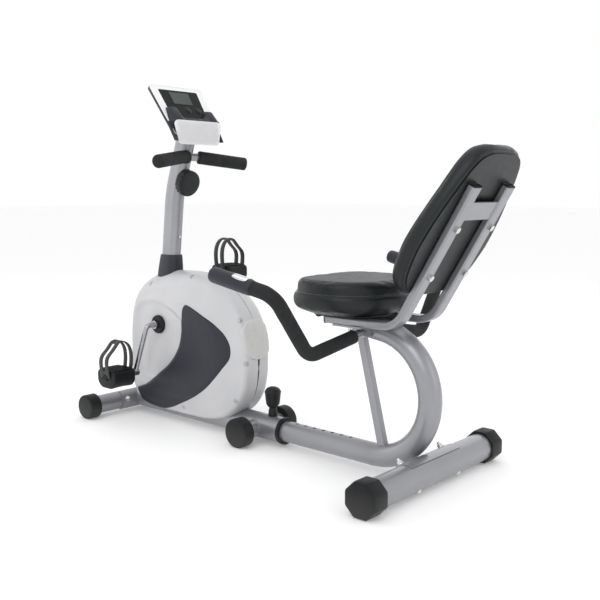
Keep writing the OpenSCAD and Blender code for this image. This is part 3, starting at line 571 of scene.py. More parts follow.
RHO = [0.0, 0.03] + [0.06 + 0.02 * i for i in range(40)] + [0.87, 0.88, 0.89, 0.90, 0.91, 0.92, 0.93, 0.94,
      0.95, 0.96, 0.968, 0.975, 0.981, 0.986, 0.990, 0.9935, 0.996, 0.998, 0.9993, 1.0]
COUNT = 240
for s, side in SIDES:
    verts, faces = [], []
    for rho in RHO[1:]:
        for j in range(COUNT):
            # even spacing round the outline, by direction
            t = 2 * math.pi * (j + 0.5) / COUNT
            a = shape_angle(math.cos(t), math.sin(t))
            ox, oz = outline(a)
            x, z = CX + (ox - CX) * rho, CZ + (oz - CZ) * rho
            y = half_width(x, z)
            verts.append(P(x, s * max(y, 0.15), z))
    verts.append(P(CX, s * half_width(CX, CZ), CZ))
    rows = len(RHO) - 1
    for i in range(rows - 1):
        for j in range(COUNT):
            k = (j + 1) % COUNT
            faces.append((i * COUNT + j, i * COUNT + k, (i + 1) * COUNT + k, (i + 1) * COUNT + j))
    for j in range(COUNT):
        faces.append((len(verts) - 1, (j + 1) % COUNT, j))
    faces = [f for f in faces if not all(
        math.hypot((verts[i].x * 1000 - FRONT) + 200, verts[i].z * 1000 - 321) < 27 for i in f)]
    # pull the edge of the crank's hole onto its circle
    users = {}
    for f in faces:
        for i in f:
            users[i] = users.get(i, 0) + 1
    for i in list(users):
        x, z = verts[i].x * 1000 - FRONT + 200, verts[i].z * 1000 - 321
        q = math.hypot(x, z)
        if q < 27:
            k = 24 / q
            verts[i] = P(-200 + x * k, s * (verts[i].y * 1000 * s), 321 + z * k)
    used = sorted(users)
    remap = {old: new for new, old in enumerate(used)}
    shell = piece(f"shroud_{side}_shell", [verts[i] for i in used],
                  [tuple(remap[i] for i in f) for f in faces], "front_frame", "shroud_plastic", WHITE,
                  [f"shroud_{side}"], angle=60)
    modified(shell, ("SOLIDIFY", {"thickness": 0.0026, "offset": -1}))
    shell.data.set_sharp_from_angle(angle=rad(60))

# crescent covers: edge away from the crank and edge beside it, as (x, z) in mm
OUTER = [(-336, 397), (-354, 394), (-384, 383), (-413, 371), (-443, 359), (-470, 345), (-498, 326),
         (-515, 307), (-525, 289), (-528, 270), (-525, 253), (-516, 237), (-496, 214), (-467, 182),
         (-426, 144), (-377, 112), (-334, 90), (-284, 67), (-245, 50), (-192, 35), (-160, 32), (-127, 33),
         (-97, 45), (-78, 66), (-64, 88)]
INNER = [(-334, 396), (-325, 386), (-319, 366), (-316, 340), (-315, 308), (-304, 265), (-285, 234),
         (-265, 210), (-239, 187), (-209, 166), (-179, 145), (-145, 124), (-100, 103), (-64, 90)]


def curve_part(p0, p1, p2, p3, count):
    """Points of a Catmull-Rom curve from p1 up to p2."""
    out = []
    for k in range(count):
        t = k / count
        out.append(0.5 * ((2 * p1) + (p2 - p0) * t + (2 * p0 - 5 * p1 + 4 * p2 - p3) * t * t
                          + (3 * p1 - p0 - 3 * p2 + p3) * t ** 3))
    return out


def evenly(dense, count, gaps):
    """count points along a dense line, whose length is cut in the given number of gaps."""
    length = [0]
    for a, b in zip(dense, dense[1:]):
        length.append(length[-1] + (b - a).length)
    out, i = [], 0
    for k in range(count):
        goal = length[-1] * k / gaps
        while i < len(dense) - 2 and length[i + 1] < goal:
            i += 1
        t = (goal - length[i]) / max(length[i + 1] - length[i], 1e-9)
        out.append(dense[i].lerp(dense[i + 1], min(max(t, 0), 1)))
    return out


def spline(points, count):
    """Even points along an open smooth curve through points."""
    pts = [Vector(p) for p in points]
    dense = []
    for i in range(len(pts) - 1):
        dense += curve_part(pts[max(i - 1, 0)], pts[i], pts[i + 1], pts[min(i + 2, len(pts) - 1)], 12)
    dense.append(pts[-1])
    return evenly(dense, count, count - 1)


N_LONG, N_WIDE = 110, 22
outer_line = spline(OUTER, N_LONG)
inner_line = spline(INNER, N_LONG)


def inside(p):
    """The point itself, or moved in to just inside the shroud's rim."""
    ox, oz = outline(shape_angle(p.x - CX, p.y - CZ))
    k = 0.993 * math.hypot(ox - CX, oz - CZ) / math.hypot(p.x - CX, p.y - CZ)
    return p if k >= 1 else Vector((CX + (p.x - CX) * k, CZ + (p.y - CZ) * k))


outer_line = [inside(p) for p in outer_line]
inner_line = [inside(p) for p in inner_line]
for s, side in SIDES:
    rings = []
    for i in range(N_LONG):
        o, q = outer_line[i], inner_line[i]
        ring = []
        for k in range(-2, N_WIDE + 3):
            w = min(max(k / N_WIDE, 0), 1)
            p = o.lerp(q, w)
            from_edge = min((p - o).length, (p - q).length, 4 + 200 * min(i, N_LONG - 1 - i) / N_LONG)
            lift = 3.4 * math.sqrt(max(1 - (1 - min(from_edge / 4, 1)) ** 2, 0))
            if k < 0:
                lift = -1.5
            if k > N_WIDE:
                lift = -5 if k == N_WIDE + 1 else -8.5
            if i in (0, N_LONG - 1):
                lift = min(lift, 0.5)
            yy = half_width(p.x, p.y, False)
            ring.append(P(p.x, s * (yy + lift), p.y))
        rings.append(ring)
    v, f = skin(rings, close=False, caps=False)
    cover = piece(f"cover_{side}_panel", v, f, "front_frame", "cover_plastic", CHARCOAL,
                  [f"cover_{side}"], angle=50)
    modified(cover, ("SOLIDIFY", {"thickness": 0.0016, "offset": -1}))
    cover.data.set_sharp_from_angle(angle=rad(50))

# screws sunk in small dimples of the left shell
screws = []
for x, z in ((-338, 484), (-557, 368), (-583, 240), (-541, 121), (-303, 60), (-142, 448)):
    y = half_width(x, z)
    n = Vector((half_width(x - 2, z) - half_width(x + 2, z), 4,
                half_width(x, z - 2) - half_width(x, z + 2))).normalized()
    base = P(x, y, z)
    screws.append(lathe(base, n, [(-4, DOT), (-4, 8), (0.1, 8), (0.6, 7.5), (0.7, 6.6), (-0.8, 5.8),
                                  (-0.8, 5.2), (1, 4.7), (1.7, 3), (1.9, 1.7), (0.6, 1.4), (0.6, DOT)], 28))
piece("shroud_screw_heads", *join(*screws), "front_frame", "screw_steel", STEEL, ["shroud_screws"])

# round covers where the crank passes through the shroud
for s, side in SIDES:
    piece(f"crank_cover_{side}", *lathe(P(-200, s * (half_width(-200, 321) + 0.6), 321), (0, s, 0), [
        (0, DOT), (0, 28.8), (1.2, 29.6), (8, 29.6), (9.8, 28.8), (10.8, 26.6), (11, 24), (11, 14), (10, 13),
        (10, DOT)], 72), "crank", "cap_plastic", BLACK, ["crank_covers"] if s > 0 else (), angle=50)

# oval pad over the seam at the rear rim
rows = []
for i in range(33):
    t = i / 32 * 2 - 1
    z = 308 + 62 * t
    rim_x = outline(math.pi - math.asin(abs((z - CZ) / 233) ** (1 / 0.94 if z > CZ else 1 / 0.68)
                                        * (1 if z > CZ else -1)))[0]
    curve = [Vector((0, 0))]
    for k in range(1, 90):
        into = 0.012 * k ** 2
        curve.append(Vector((into, half_width(rim_x + into, z))))
    along = [0]
    for a, b in zip(curve, curve[1:]):
        along.append(along[-1] + (b - a).length)

    def on_curve(d):
        k = 1
        while k < len(curve) - 1 and along[k] < d:
            k += 1
        return curve[k - 1].lerp(curve[k], (d - along[k - 1]) / max(along[k] - along[k - 1], 1e-6))

    wide = 60 * max(1 - abs(t) ** 2.2, 0) ** 0.5 + 0.5
    row = []
    for k in range(-24, 25):
        w = abs(k) / 24
        hand = 1 if k >= 0 else -1
        p = on_curve(w * wide)
        tangent = on_curve(w * wide + 5) - on_curve(max(w * wide - 5, 0))
        tangent = tangent.normalized() if w * wide > 2 else Vector((0, 1))
        edge = min((1 - w) * wide / 5, 1)
        ends = min((1 - abs(t)) * 62 / 5, 1)
        lift = 6.2 * math.sqrt(max(1 - (1 - edge) ** 2, 0)) * math.sqrt(max(1 - (1 - ends) ** 2, 0)) - 3.2
        row.append(P(rim_x + p.x - tangent.y * lift, hand * (p.y + tangent.x * lift), z))
    rows.append(row)
v, f = skin(rows, close=False, caps=False)
pad = piece("rear_rim_pad", v, f, "front_frame", "pearl_plastic", PEARL, ["shroud_rear_cap"], angle=180)
modified(pad, ("SOLIDIFY", {"thickness": 0.0015, "offset": 0}))


# ---------- mast boot ----------
MAST_LOW, MAST_KNEE = Vector((-181, 0, 455)), Vector((-214.5, 0, 743))
mast_up = (MAST_KNEE - MAST_LOW).normalized()


def top_of_shroud(x, y):
    """Height of the shroud's upper surface over a point."""
    z = 300.0
    high = 497.0
    for _ in range(24):
        mid = (z + high) / 2
        if half_width(x, mid) >= abs(y):
            z = mid
        else:
            high = mid
    return z


def oval(length, width, j, n=72):
    a = 2 * math.pi * j / n
    c, s = math.cos(a), math.sin(a)
    half = (length - width) / 2
    return ((half if c > 0 else -half) * min(1, abs(c) * 3) + width / 2 * c, width / 2 * s)


rings = []
SHELL = [(1.0, 71.5, 43.5), (1.0, 76, 48), (0.985, 79, 51), (0.965, 80.5, 52.5), (0.8, 83.5, 55),
         (0.6, 87, 57.5), (0.4, 90, 60), (0.2, 92.5, 62), (0.07, 94, 63.5), (0.0, 93, 62.5)]
for part, length, width in SHELL:
    ring = []
    for j in range(72):
        u, w = oval(length, width, j)
        top = MAST_LOW + mast_up * 90
        lowest = top_of_shroud(MAST_LOW.x + u, w) - 1.5
        z = lowest + (top.z - lowest) * part
        c = MAST_LOW + mast_up * ((z - MAST_LOW.z) / mast_up.z)
        ring.append(P(c.x + u, w, z))
    rings.append(ring)
v, f = skin(rings, caps=False)
piece("mast_boot_skirt", v, f, "front_frame", "charcoal_plastic", CHARCOAL, ["mast_boot"], angle=70)


# ---------- console ----------
LEAN = rad(34.5)
TOP = Vector((-227, 0, 1076.5))
DOWN = Vector((-math.sin(LEAN), 0, -math.cos(LEAN)))
OUT = Vector((-math.cos(LEAN), 0, math.sin(LEAN)))


def on_face(s, t):
    """Plate coordinates on the console: u to the left, v up the face, from s mm below its top edge."""
    def place(u, v, w):
        p = TOP + DOWN * (s - v) + OUT * (t + w) + Vector((0, u, 0))
        return P(*p)
    return place


face_loop = corner_loop(105, 91, 188, 10)
window_loop = [(u, v + 26) for u, v in corner_loop(79, 73, 106, 5)]
piece("console_front", *plate(face_loop, on_face(94, 0), -4.6, 0.4, 1.6, hole=window_loop),
      "front_frame", "console_light", FACE, ["console_face"])
piece("console_shell", *plate(corner_loop(105.4, 91.4, 188.6, 10), on_face(94, 0), -13.8, -4.7, 2.6),
      "front_frame", "console_dark", CHARCOAL, ["console_back"])
piece("console_neck", *plate([(u, v) for u, v in corner_loop(38, 43, 100, 12)], on_face(126, -13), -42, 1, 6),
      "front_frame", "console_dark", CHARCOAL)
piece("window_panel", *plate([(u, v + 26) for u, v in corner_loop(78.8, 72.8, 105.6, 4.8)],
      on_face(94, 0), -4.4, 0.05, 0.5), "front_frame", "window_gloss", GLASS, ["console_window"])
piece("lcd_rim", *plate(corner_loop(42, 40, 50, 3), on_face(45, 0.06), -0.6, 0.35, 0.3,
      hole=corner_loop(39, 37.4, 45, 2)), "front_frame", "window_gloss", KEY)
piece("lcd_screen", *plate(corner_loop(39.2, 37.6, 45.4, 2), on_face(45, 0.06), -0.6, 0.18, 0.1),
      "front_frame", "window_gloss", LCD)
# short raised dashes on both sides of the screen, in place of any lettering
dashes = []
for y in (-62, 57):
    for i in range(5):
        for k in (0, 9):
            def dash_at(u, v, w, y=y, i=i, k=k):
                return on_face(26 + 9.5 * i, 0.05)(y + k + u, v, w)

            dashes.append(plate(corner_loop(2.4, 2.4, 1.3, 0.5, 4), dash_at, -0.1, 0.18, 0.08))
piece("window_dashes", *join(*dashes), "front_frame", "window_gloss", KEY)
for y, side in ((-8, "left"), (-50, "right")):
    centre = TOP + DOWN * 91 + Vector((0, y, 0))
    base = P(*centre)
    # sunk ring in the window, and the key itself
    piece(f"key_ring_{side}", *lathe(base, OUT, [(-0.4, 12.6), (0.3, 12.4), (0.7, 11.6), (0.7, 9.4),
          (0.2, 9.0), (-0.4, 9.0)], 48), "front_frame", "window_gloss", KEY)
    piece(f"key_cap_{side}", *lathe(base, OUT, [(-2.5, DOT), (-2.5, 8), (1.6, 8), (2.6, 7.6), (3.2, 6.6),
          (3.3, 5), (2.9, 3), (2.7, DOT)], 48), f"{side}_key", "key_plastic", KEY,
          [f"button_{side}"])

# reading rest: ribbed front plate, dark tray with two raised ends, side cheeks
rest = []
loop = corner_loop(93, 84, 73, 14, 9)


def rest_place(u, v, w):
    """v up the plate; the plate leans 3 degrees forwards; w out towards the rider."""
    return P(-336 + (v + 36.5) * 0.055 - w, u, 929.5 + v)


rest.append(plate(loop, rest_place, -3.6, 2.0, 1.4))
for i in range(-19, 20):
    u = i * 4.4
    if abs(u) > 80:
        continue
    top, low = 32.5, -32.5 + (max(abs(u) - 66, 0)) ** 1.3 * 0.2
    v0 = [(u - 1.1, low), (u + 1.1, low), (u + 1.1, top), (u - 1.1, top)]
    rest.append(skin([[rest_place(a, b, w) for a, b in v0] for w in (1.9, 2.55)]
                     + [[rest_place(u + (a - u) * 0.4, b * 0.995, 2.75) for a, b in v0]]))
piece("rest_front_plate", *join(*rest), "front_frame", "rest_plastic", REST, ["reading_rest"], angle=30)
tray = []


def face_x(z):
    return -227 - math.tan(LEAN) * (1076.5 - z)


rings = []
for y in [-90, -89, -86] + list(range(-80, 81, 10)) + [86, 89, 90]:
    fall = 4.0 if abs(y) > 88.5 else (1.0 if abs(y) > 86 else 0)
    zt = 944 - fall
    rings.append([P(-331, y, zt), P(-331, y, zt - 12), P(face_x(930) - 0.6, y, 928),
                  P(face_x(zt) - 0.8, y, zt)])
tray.append(skin(rings))
for s in (1, -1):
    # dark cheek that slants from the plate's end back to the console's edge
    rings = []
    for y, top_x, low_x in ((80, -329, -334), (90, -330, -334), (101, face_x(961) - 1, face_x(903) - 1),
                            (102, face_x(961) + 3, face_x(903) + 3)):
        rings.append([P(top_x, s * y, 962), P(low_x, s * (y - 8), 903), P(-330, s * (y - 8), 903),
                      P(face_x(962) + 4, s * y, 962)])
    tray.append(skin(rings))
piece("rest_tray", *join(*tray), "front_frame", "console_dark", CHARCOAL, angle=30)
# dark ledge against the console's face, dipped in the middle and raised at both ends
rings = []
for i in range(61):
    y = -91 + 182 * i / 60
    rise = 30 * step(40, 62, y) * step(91, 80, y) + 25 * step(-48, -70, y) * step(-91, -84, y)
    top = 967 + 9 * step(91, 87, abs(y)) + rise
    x_top = face_x(top)
    rings.append([P(-330, y, 957), P(-329.5, y, 967.5), P(x_top - 13 - 0.45 * rise, y, top - 2),
                  P(x_top - 10 - 0.4 * rise, y, top), P(x_top + 1, y, top), P(face_x(960) + 1, y, 960)])
piece("rest_stops", *skin(rings), "front_frame", "console_dark", CHARCOAL, angle=50)


# ---------- tension dial ----------
DIAL_AT = Vector((-230.7, 0, 790))
DIAL_OUT = Vector((-math.cos(rad(17.5)), 0, -math.sin(rad(17.5))))


def flutes(a, x):
    """Eighteen shallow flutes round the dial's rim."""
    return 1 - (0.035 * max(math.cos(18 * a), -0.2) if 36 < x < 57 else 0)


prof = [(36.5, DOT), (36.5, 35)]
prof += [(37.4 + i, 40.6 + 0.9 * math.sin(math.pi * i / 30)) for i in range(0, 19, 2)]
prof += [(57.5, 41.5), (59.5, 41.1), (61.4, 39.8), (62.8, 37.4), (63.6, 33.6), (64, 27), (64.3, 18),
         (64.4, 8), (64.4, DOT)]
piece("dial_knob", *lathe(P(*DIAL_AT), DIAL_OUT, prof, 144, flutes), "dial", "dial_plastic", DIAL,
      ["tension_dial"], angle=50)
# collar between the dial and the mast, with a small hood above
side = Vector((0, 1, 0))
dup = DIAL_OUT.cross(side)
if dup.z < 0:
    dup = -dup
rings = []
for t, w, h in ((17, 21.5, 30), (19, 22.5, 34), (24, 24, 37), (30, 25.5, 40), (34, 26, 41.5),
                (35.6, 25, 41), (35.9, 20, 34)):
    ring = []
    for j in range(56):
        a = 2 * math.pi * j / 56
        u = w * bowed(math.cos(a), 0.7)
        q = (h if math.sin(a) > 0 else 30) * bowed(math.sin(a), 0.8)
        p = DIAL_AT + DIAL_OUT * t + side * u + dup * q
        ring.append(P(*p))
    rings.append(ring)
piece("dial_collar", *skin(rings), "front_frame", "dial_plastic", DIAL, ["tension_housing"], angle=50)


# ---------- handlebars and grips ----------
for s, side_name in SIDES:
    if s > 0:
        line = bent([(-292, 9, 856), (-292, 32, 856), (-351.6, 178, 837.5)], 40)
    else:
        line = [P(-292.6, -33, 855.9), P(-353.2, -182, 837)]
    line = resample(line, 0.006)
    piece(f"upper_grip_{side_name}", *round_tube(line, 20.4, 3.5, 48, 0.25), "front_frame", "foam",
          FOAM, ["upper_grips"] if s > 0 else (), angle=70)

SIDE = dict(root=Vector((-1018, 0, 392)), low=Vector((-1002, 247, 348)), high=Vector((-995, 362, 509)),
            end=Vector((-803, 375, 547.6)))
grip_dir = (SIDE["high"] - SIDE["end"]).normalized()
inner = SIDE["low"] + (SIDE["root"] - SIDE["low"]).normalized() * 171


def flip(v, s):
    return Vector((v.x, v.y * s, v.z))


for s, side_name in SIDES:
    line = bent([flip(SIDE["end"] - grip_dir * 4, s), flip(SIDE["high"], s), flip(SIDE["low"], s),
                 flip(inner, s)], 45, 5)
    piece(f"side_grip_{side_name}", *round_tube(line, 18.1, 5, 48, 0.3), "carriage", "foam", FOAM,
          ["side_grips"] if s > 0 else (), angle=70)
    # moulded hand-pulse housing: a sleeve with a raised flat for the plate
    d = flip(grip_dir, s)
    sd = (Vector((0, 1, 0)) - d.y * d).normalized()
    up = d.cross(sd)
    if up.z < 0:
        up = -up
    base = flip(SIDE["end"], s)
    rings = []
    for x, grow in ((-3.5, -9), (-3.5, -1.5), (-2.2, 0.2), (0, 1.3), (6, 1.9), (40, 2.0), (70, 2.0),
                    (116, 1.9), (125, 1.4), (128.5, 0.6), (130, 0.05)):
        ring = []
        for j in range(56):
            a = 2 * math.pi * j / 56
            r = 18.1 + grow
            ca, sa = math.cos(a), math.sin(a)
            flat = step(50, 66, x) * step(125, 114, x)
            h = r * sa
            if sa > 0:
                h = h + flat * 1.6 * sa
                h = min(h, r + 0.6 * flat)
            ring.append(P(*(base + d * x + sd * (r * ca) + up * h)))
        rings.append(ring)
    piece(f"pulse_housing_{side_name}", *skin(rings), "carriage", "housing_plastic", CHARCOAL,
          ["pulse_housings"] if s > 0 else (), angle=50)
    rings = []
    for x, wide, lift in ((68, 0.5, -0.6), (68.4, 0.66, 0.3), (69.5, 0.74, 0.75), (74, 0.80, 0.9),
                          (94, 0.86, 0.9), (111, 0.80, 0.9), (115.5, 0.70, 0.75), (117.2, 0.56, 0.2),
                          (117.8, 0.45, -0.6)):
        ring = []
        for k in range(17):
            a = math.pi / 2 + wide * (k / 8 - 1)
            r = 20.7 + lift - 0.9 * (abs(k / 8 - 1) ** 6)
            ring.append(P(*(base + d * x + sd * (r * math.cos(a)) + up * (r * math.sin(a)))))
        rings.append(ring)
    plate_ob = piece(f"pulse_plate_{side_name}", *skin(rings, close=False, caps=False), "carriage",
                     "pulse_chrome", CHROME, ["pulse_plates"] if s > 0 else (), angle=60)
    modified(plate_ob, ("SOLIDIFY", {"thickness": 0.001, "offset": -1}))


# ---------- cushions ----------
def loop_from(points, count):
    """Even closed loop through points, as 2D vectors."""
    n = len(points)
    dense = []
    for i in range(n):
        dense += curve_part(*(Vector(points[(i + k) % n]) for k in (-1, 0, 1, 2)), 10)
    dense.append(dense[0].copy())
    return evenly(dense, count, count)


def closed_form(loop, centre, half, sections, place):
    """sections: (height, grow) rings; grow in mm at the loop's edge. The last ones close to a point."""
    rings = []
    for h, grow in sections:
        sx, sy = (half[0] + grow) / half[0], (half[1] + grow) / half[1]
        rings.append([place(centre[0] + (p.x - centre[0]) * sx, centre[1] + (p.y - centre[1]) * sy, h)
                      for p in loop])
    return skin(rings)


def inflate(name, verts, faces, keep, pressure=4.0, cap=7.0, voxel=5.0):
    """Soft closed form: remeshed, blown up by cloth under pressure, held where keep(v) is true."""
    me = bpy.data.meshes.new(name)
    me.from_pydata([tuple(v) for v in verts], [], faces)
    bm = bmesh.new()
    bm.from_mesh(me)
    bmesh.ops.remove_doubles(bm, verts=bm.verts, dist=0.0001)
    bmesh.ops.triangulate(bm, faces=[f for f in bm.faces if len(f.verts) > 4])
    bmesh.ops.recalc_face_normals(bm, faces=bm.faces)
    bm.to_mesh(me)
    bm.free()
    ob = bpy.data.objects.new(name, me)
    scene.collection.objects.link(ob)
    modified(ob, ("REMESH", {"mode": "VOXEL", "voxel_size": voxel * MM}),
             ("SMOOTH", {"factor": 0.5, "iterations": 3}))
    rest = [v.co.copy() for v in ob.data.vertices]
    held = ob.vertex_groups.new(name="held")
    for v in ob.data.vertices:
        if keep(v.co):
            held.add([v.index], 1.0, "ADD")
    m = ob.modifiers.new("puff", "CLOTH")
    c = m.settings
    c.quality = 5
    c.mass = 0.4
    c.use_pressure = True
    c.uniform_pressure_force = pressure
    c.effector_weights.gravity = 0
    c.vertex_group_mass = "held"
    c.tension_stiffness = 22
    c.compression_stiffness = 22
    c.shear_stiffness = 12
    c.bending_stiffness = 3
    m.collision_settings.use_self_collision = False
    m.point_cache.frame_start, m.point_cache.frame_end = 1, 20
    for fnum in range(1, 21):
        scene.frame_set(fnum)
    dg = bpy.context.evaluated_depsgraph_get()
    done = bpy.data.meshes.new_from_object(ob.evaluated_get(dg))
    ob.modifiers.clear()
    scene.frame_set(1)
    moved = [v.co.copy() for v in done.vertices]
    ob.data = done
    for v, a, b in zip(ob.data.vertices, rest, moved):
        d = b - a
        if d.length > cap * MM:
            d = d * (cap * MM / d.length)
        v.co = a + d
    ob.vertex_groups.clear()
    modified(ob, ("SMOOTH", {"factor": 0.5, "iterations": 2}),
             ("SUBSURF", {"levels": 1, "render_levels": 1}))
    return ob


def finish_soft(ob, look, body, replaces=()):
    ob.data.polygons.foreach_set("use_smooth", [True] * len(ob.data.polygons))
    ob.data.materials.clear()
    ob.data.materials.append(look)
    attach(ob, body)
    if replaces:
        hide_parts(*replaces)
    return ob


def surface_line(ob, starts, targets):
    """Points where rays from starts to targets first meet ob's surface."""
    me = ob.data
    tree = BVHTree.FromPolygons([v.co for v in me.vertices], [tuple(p.vertices) for p in me.polygons])
    out = []
    for a, b in zip(starts, targets):
        hit = tree.ray_cast(a, (b - a).normalized())
        out.append(hit[0] if hit[0] is not None else b)
    n = len(out)
    for _ in range(3):
        out = [(out[i - 1] + out[i] * 2 + out[(i + 1) % n]) / 4 for i in range(n)]
    return out


def ring_tube(path, radius, n=12):
    """Closed tube along a closed path; radius(i) in mm at path point i."""
    path = list(path)
    rings = []
    m = len(path)
    mid = sum(path, Vector()) / m
    for i, p in enumerate(path):
        d = (path[(i + 1) % m] - path[i - 1]).normalized()
        out = p - mid
        out = (out - out.dot(d) * d).normalized()
        up = d.cross(out)
        r = radius(i)
        rings.append([p + (out * math.cos(2 * math.pi * k / n) + up * math.sin(2 * math.pi * k / n)) * r * MM
                      for k in range(n)])
    rings.append(rings[0])
    return skin(rings, caps=False)


# seat: an oval of two powers, wider in front
SEAT_X = -961.0
TUBE_Y = (79, -79)  # the two seat tubes
plan = []
for i in range(72):
    a = 2 * math.pi * (i + 0.5) / 72
    p = 0.72 if math.cos(a) > 0 else 0.95
    plan.append((SEAT_X + 146 * bowed(math.cos(a), p), 168 * bowed(math.sin(a), p)))
seat_loop = loop_from(plan, 160)


SEAT = [(430, -90), (430, -62), (434, -36), (439, -20), (446, -8), (453, -2.5), (462, 0), (472, 0.5),
        (481, -1), (486, -4), (489, -9), (493, -10), (501, -9), (510, -10), (517, -13), (522, -19),
        (524, -32), (524, -62), (524, -110)]
v, f = closed_form(seat_loop, (SEAT_X, 0), (146, 168), SEAT, P)
seat = inflate("seat_pad", v, f, lambda c: c.z < 0.4330, pressure=3.5, cap=5.0, voxel=5)
for vert in seat.data.vertices:
    vert.co.z = min(max(vert.co.z, 0.4275), 0.5240)
    # sewn seam pulls the side in under the top panel
    dz = vert.co.z * 1000 - 490
    pull = 2.0 * math.exp(-(dz / 3.0) ** 2)
    flat = Vector((vert.co.x - (FRONT + SEAT_X) * MM, vert.co.y, 0))
    if flat.length > 0.10:
        vert.co -= flat.normalized() * pull * MM
finish_soft(seat, VINYL, "carriage", ["seat_cushion"])
# The up-facing top faces take the lighter vinyl copy: painted light on the seat's top.
seat.data.materials.append(VINYL_PAINTED_LIT)
for poly in seat.data.polygons:
    c = poly.center
    if c.z > 0.5155 and poly.normal.z > 0.80:
        poly.material_index = 1
starts = [P(SEAT_X + (p.x - SEAT_X) * 1.3, p.y * 1.3, 489.5) for p in seat_loop]
ends = [P(SEAT_X + (p.x - SEAT_X) * 0.5, p.y * 0.5, 489.5) for p in seat_loop]
line = surface_line(seat, starts, ends)
piece("seat_piping", *ring_tube(line, lambda i: 2.2), "carriage", "seat_vinyl", PIPING, angle=180)
board_loop = [((p.x - SEAT_X) * 0.68 + SEAT_X, p.y * 0.68) for p in seat_loop]
piece("seat_board_panel", *plate(board_loop, lambda u, w, t: P(u, w, t), 427.1, 431, 1.2), "carriage",
      "seat_vinyl", BOARD)
bumpers = []
for y in TUBE_Y:
    prof = [(0, DOT), (0, 9), (6, 9.5), (14, 9), (18, 7.5), (19.5, 5), (20, DOT)]
    bumpers.append(lathe(P(-893, y, 438), (0, 0, -1), prof, 32))
piece("seat_bumpers", *join(*bumpers), "carriage", "cap_plastic", BLACK)

# back
KNEE = Vector((-1150, 0, 417))
B = rad(30.7)
UB = Vector((-math.sin(B), 0, math.cos(B)))
NB = Vector((math.cos(B), 0, math.sin(B)))
EDGE = [(80, 45), (84, 77), (92, 101), (112, 130), (146, 152), (190, 164), (230, 168), (290, 162), (340, 151),
        (390, 136), (430, 122), (458, 108), (477, 90), (488, 62), (491, 30)]
outline_pts = [(w, s_) for s_, w in EDGE] + [(-w, s_) for s_, w in EDGE[::-1]]
back_loop = loop_from(outline_pts, 180)


def back_place(y, s_, t):
    return P(*(KNEE + UB * s_ + NB * t + Vector((0, y, 0))))


BACK = [(10.4, -60), (10.4, -24), (11, -12), (13.5, -5), (18, -1.5), (26, 0.5), (36, 1), (45, 0),
        (50, -3), (53, -6), (57, -11), (61, -20), (64, -36), (66, -60), (67, -100), (67, -150)]
v, f = closed_form(back_loop, (0, 283), (164, 203), BACK, back_place)


def back_t(co):
    p = Vector((co.x * 1000 - FRONT, co.y * 1000, co.z * 1000)) - KNEE
    return p.dot(NB), p.dot(UB)


back = inflate("back_pad", v, f, lambda c: back_t(c)[0] < 12.5, pressure=3.5, cap=4.5, voxel=5)
for vert in back.data.vertices:
    t, s_ = back_t(vert.co)
    want = min(max(t, 10.3), 69.5)
    # seams: one round the front panel, one where the cover folds to the rear panel
    pull = 2.0 * math.exp(-((t - 52) / 2.6) ** 2) + 0.6 * math.exp(-((t - 15) / 2.2) ** 2)
    p = Vector((0, vert.co.y * 1000, 0)) + UB * (s_ - 283)
    if p.length > 60:
        vert.co -= p.normalized() * pull * MM
    vert.co += NB * (want - t) * MM
finish_soft(back, VINYL, "carriage", ["back_cushion"])
# The forward-facing front faces take the lighter vinyl copy: painted light on the back's front panel.
back.data.materials.append(VINYL_PAINTED_LIT)
for poly in back.data.polygons:
    t, s_ = back_t(poly.center)
    if t > 60 and poly.normal.dot(NB) > 0.8:
        poly.material_index = 1
for t, r, tag in ((52, 2.2, "front"), (15, 0.9, "rear")):
    starts = [back_place(p.x * 1.3, 283 + (p.y - 283) * 1.3, t) for p in back_loop]
    ends = [back_place(p.x * 0.4, 283 + (p.y - 283) * 0.4, t) for p in back_loop]
    line = surface_line(back, starts, ends)
    piece(f"back_piping_{tag}", *ring_tube(line, lambda i: r), "carriage", "seat_vinyl", PIPING, angle=180)
rear_loop = [(p.x * 0.93, 283 + (p.y - 283) * 0.95) for p in back_loop][::-1]
panel = plate(rear_loop, lambda u, w, t: back_place(u, w, t), 9.4, 12.5, 1.2)
piece("back_board_panel", *panel, "carriage", "seat_vinyl", VINYL, angle=50)


# ---------- plugs in the seat tubes ----------
plugs = []
for y in TUBE_Y:
    top = KNEE + UB * 403

    def upper_end(u, w, t, y=y, top=top):
        return P(*(top + Vector((0, y + u, 0)) + NB * w + UB * t))

    def front_end(u, w, t, y=y):
        return P(-928 + t, y + u, 417 + w)

    loop = corner_loop(19, 19, 20, 5.5, 6)
    plugs.append(plate(loop, upper_end, -0.5, 3.2, 1.4))
    plugs.append(plate(loop[::-1], front_end, -0.5, 2.8, 1.3))
piece("seat_tube_plugs", *join(*plugs), "carriage", "cap_plastic", BLACK)


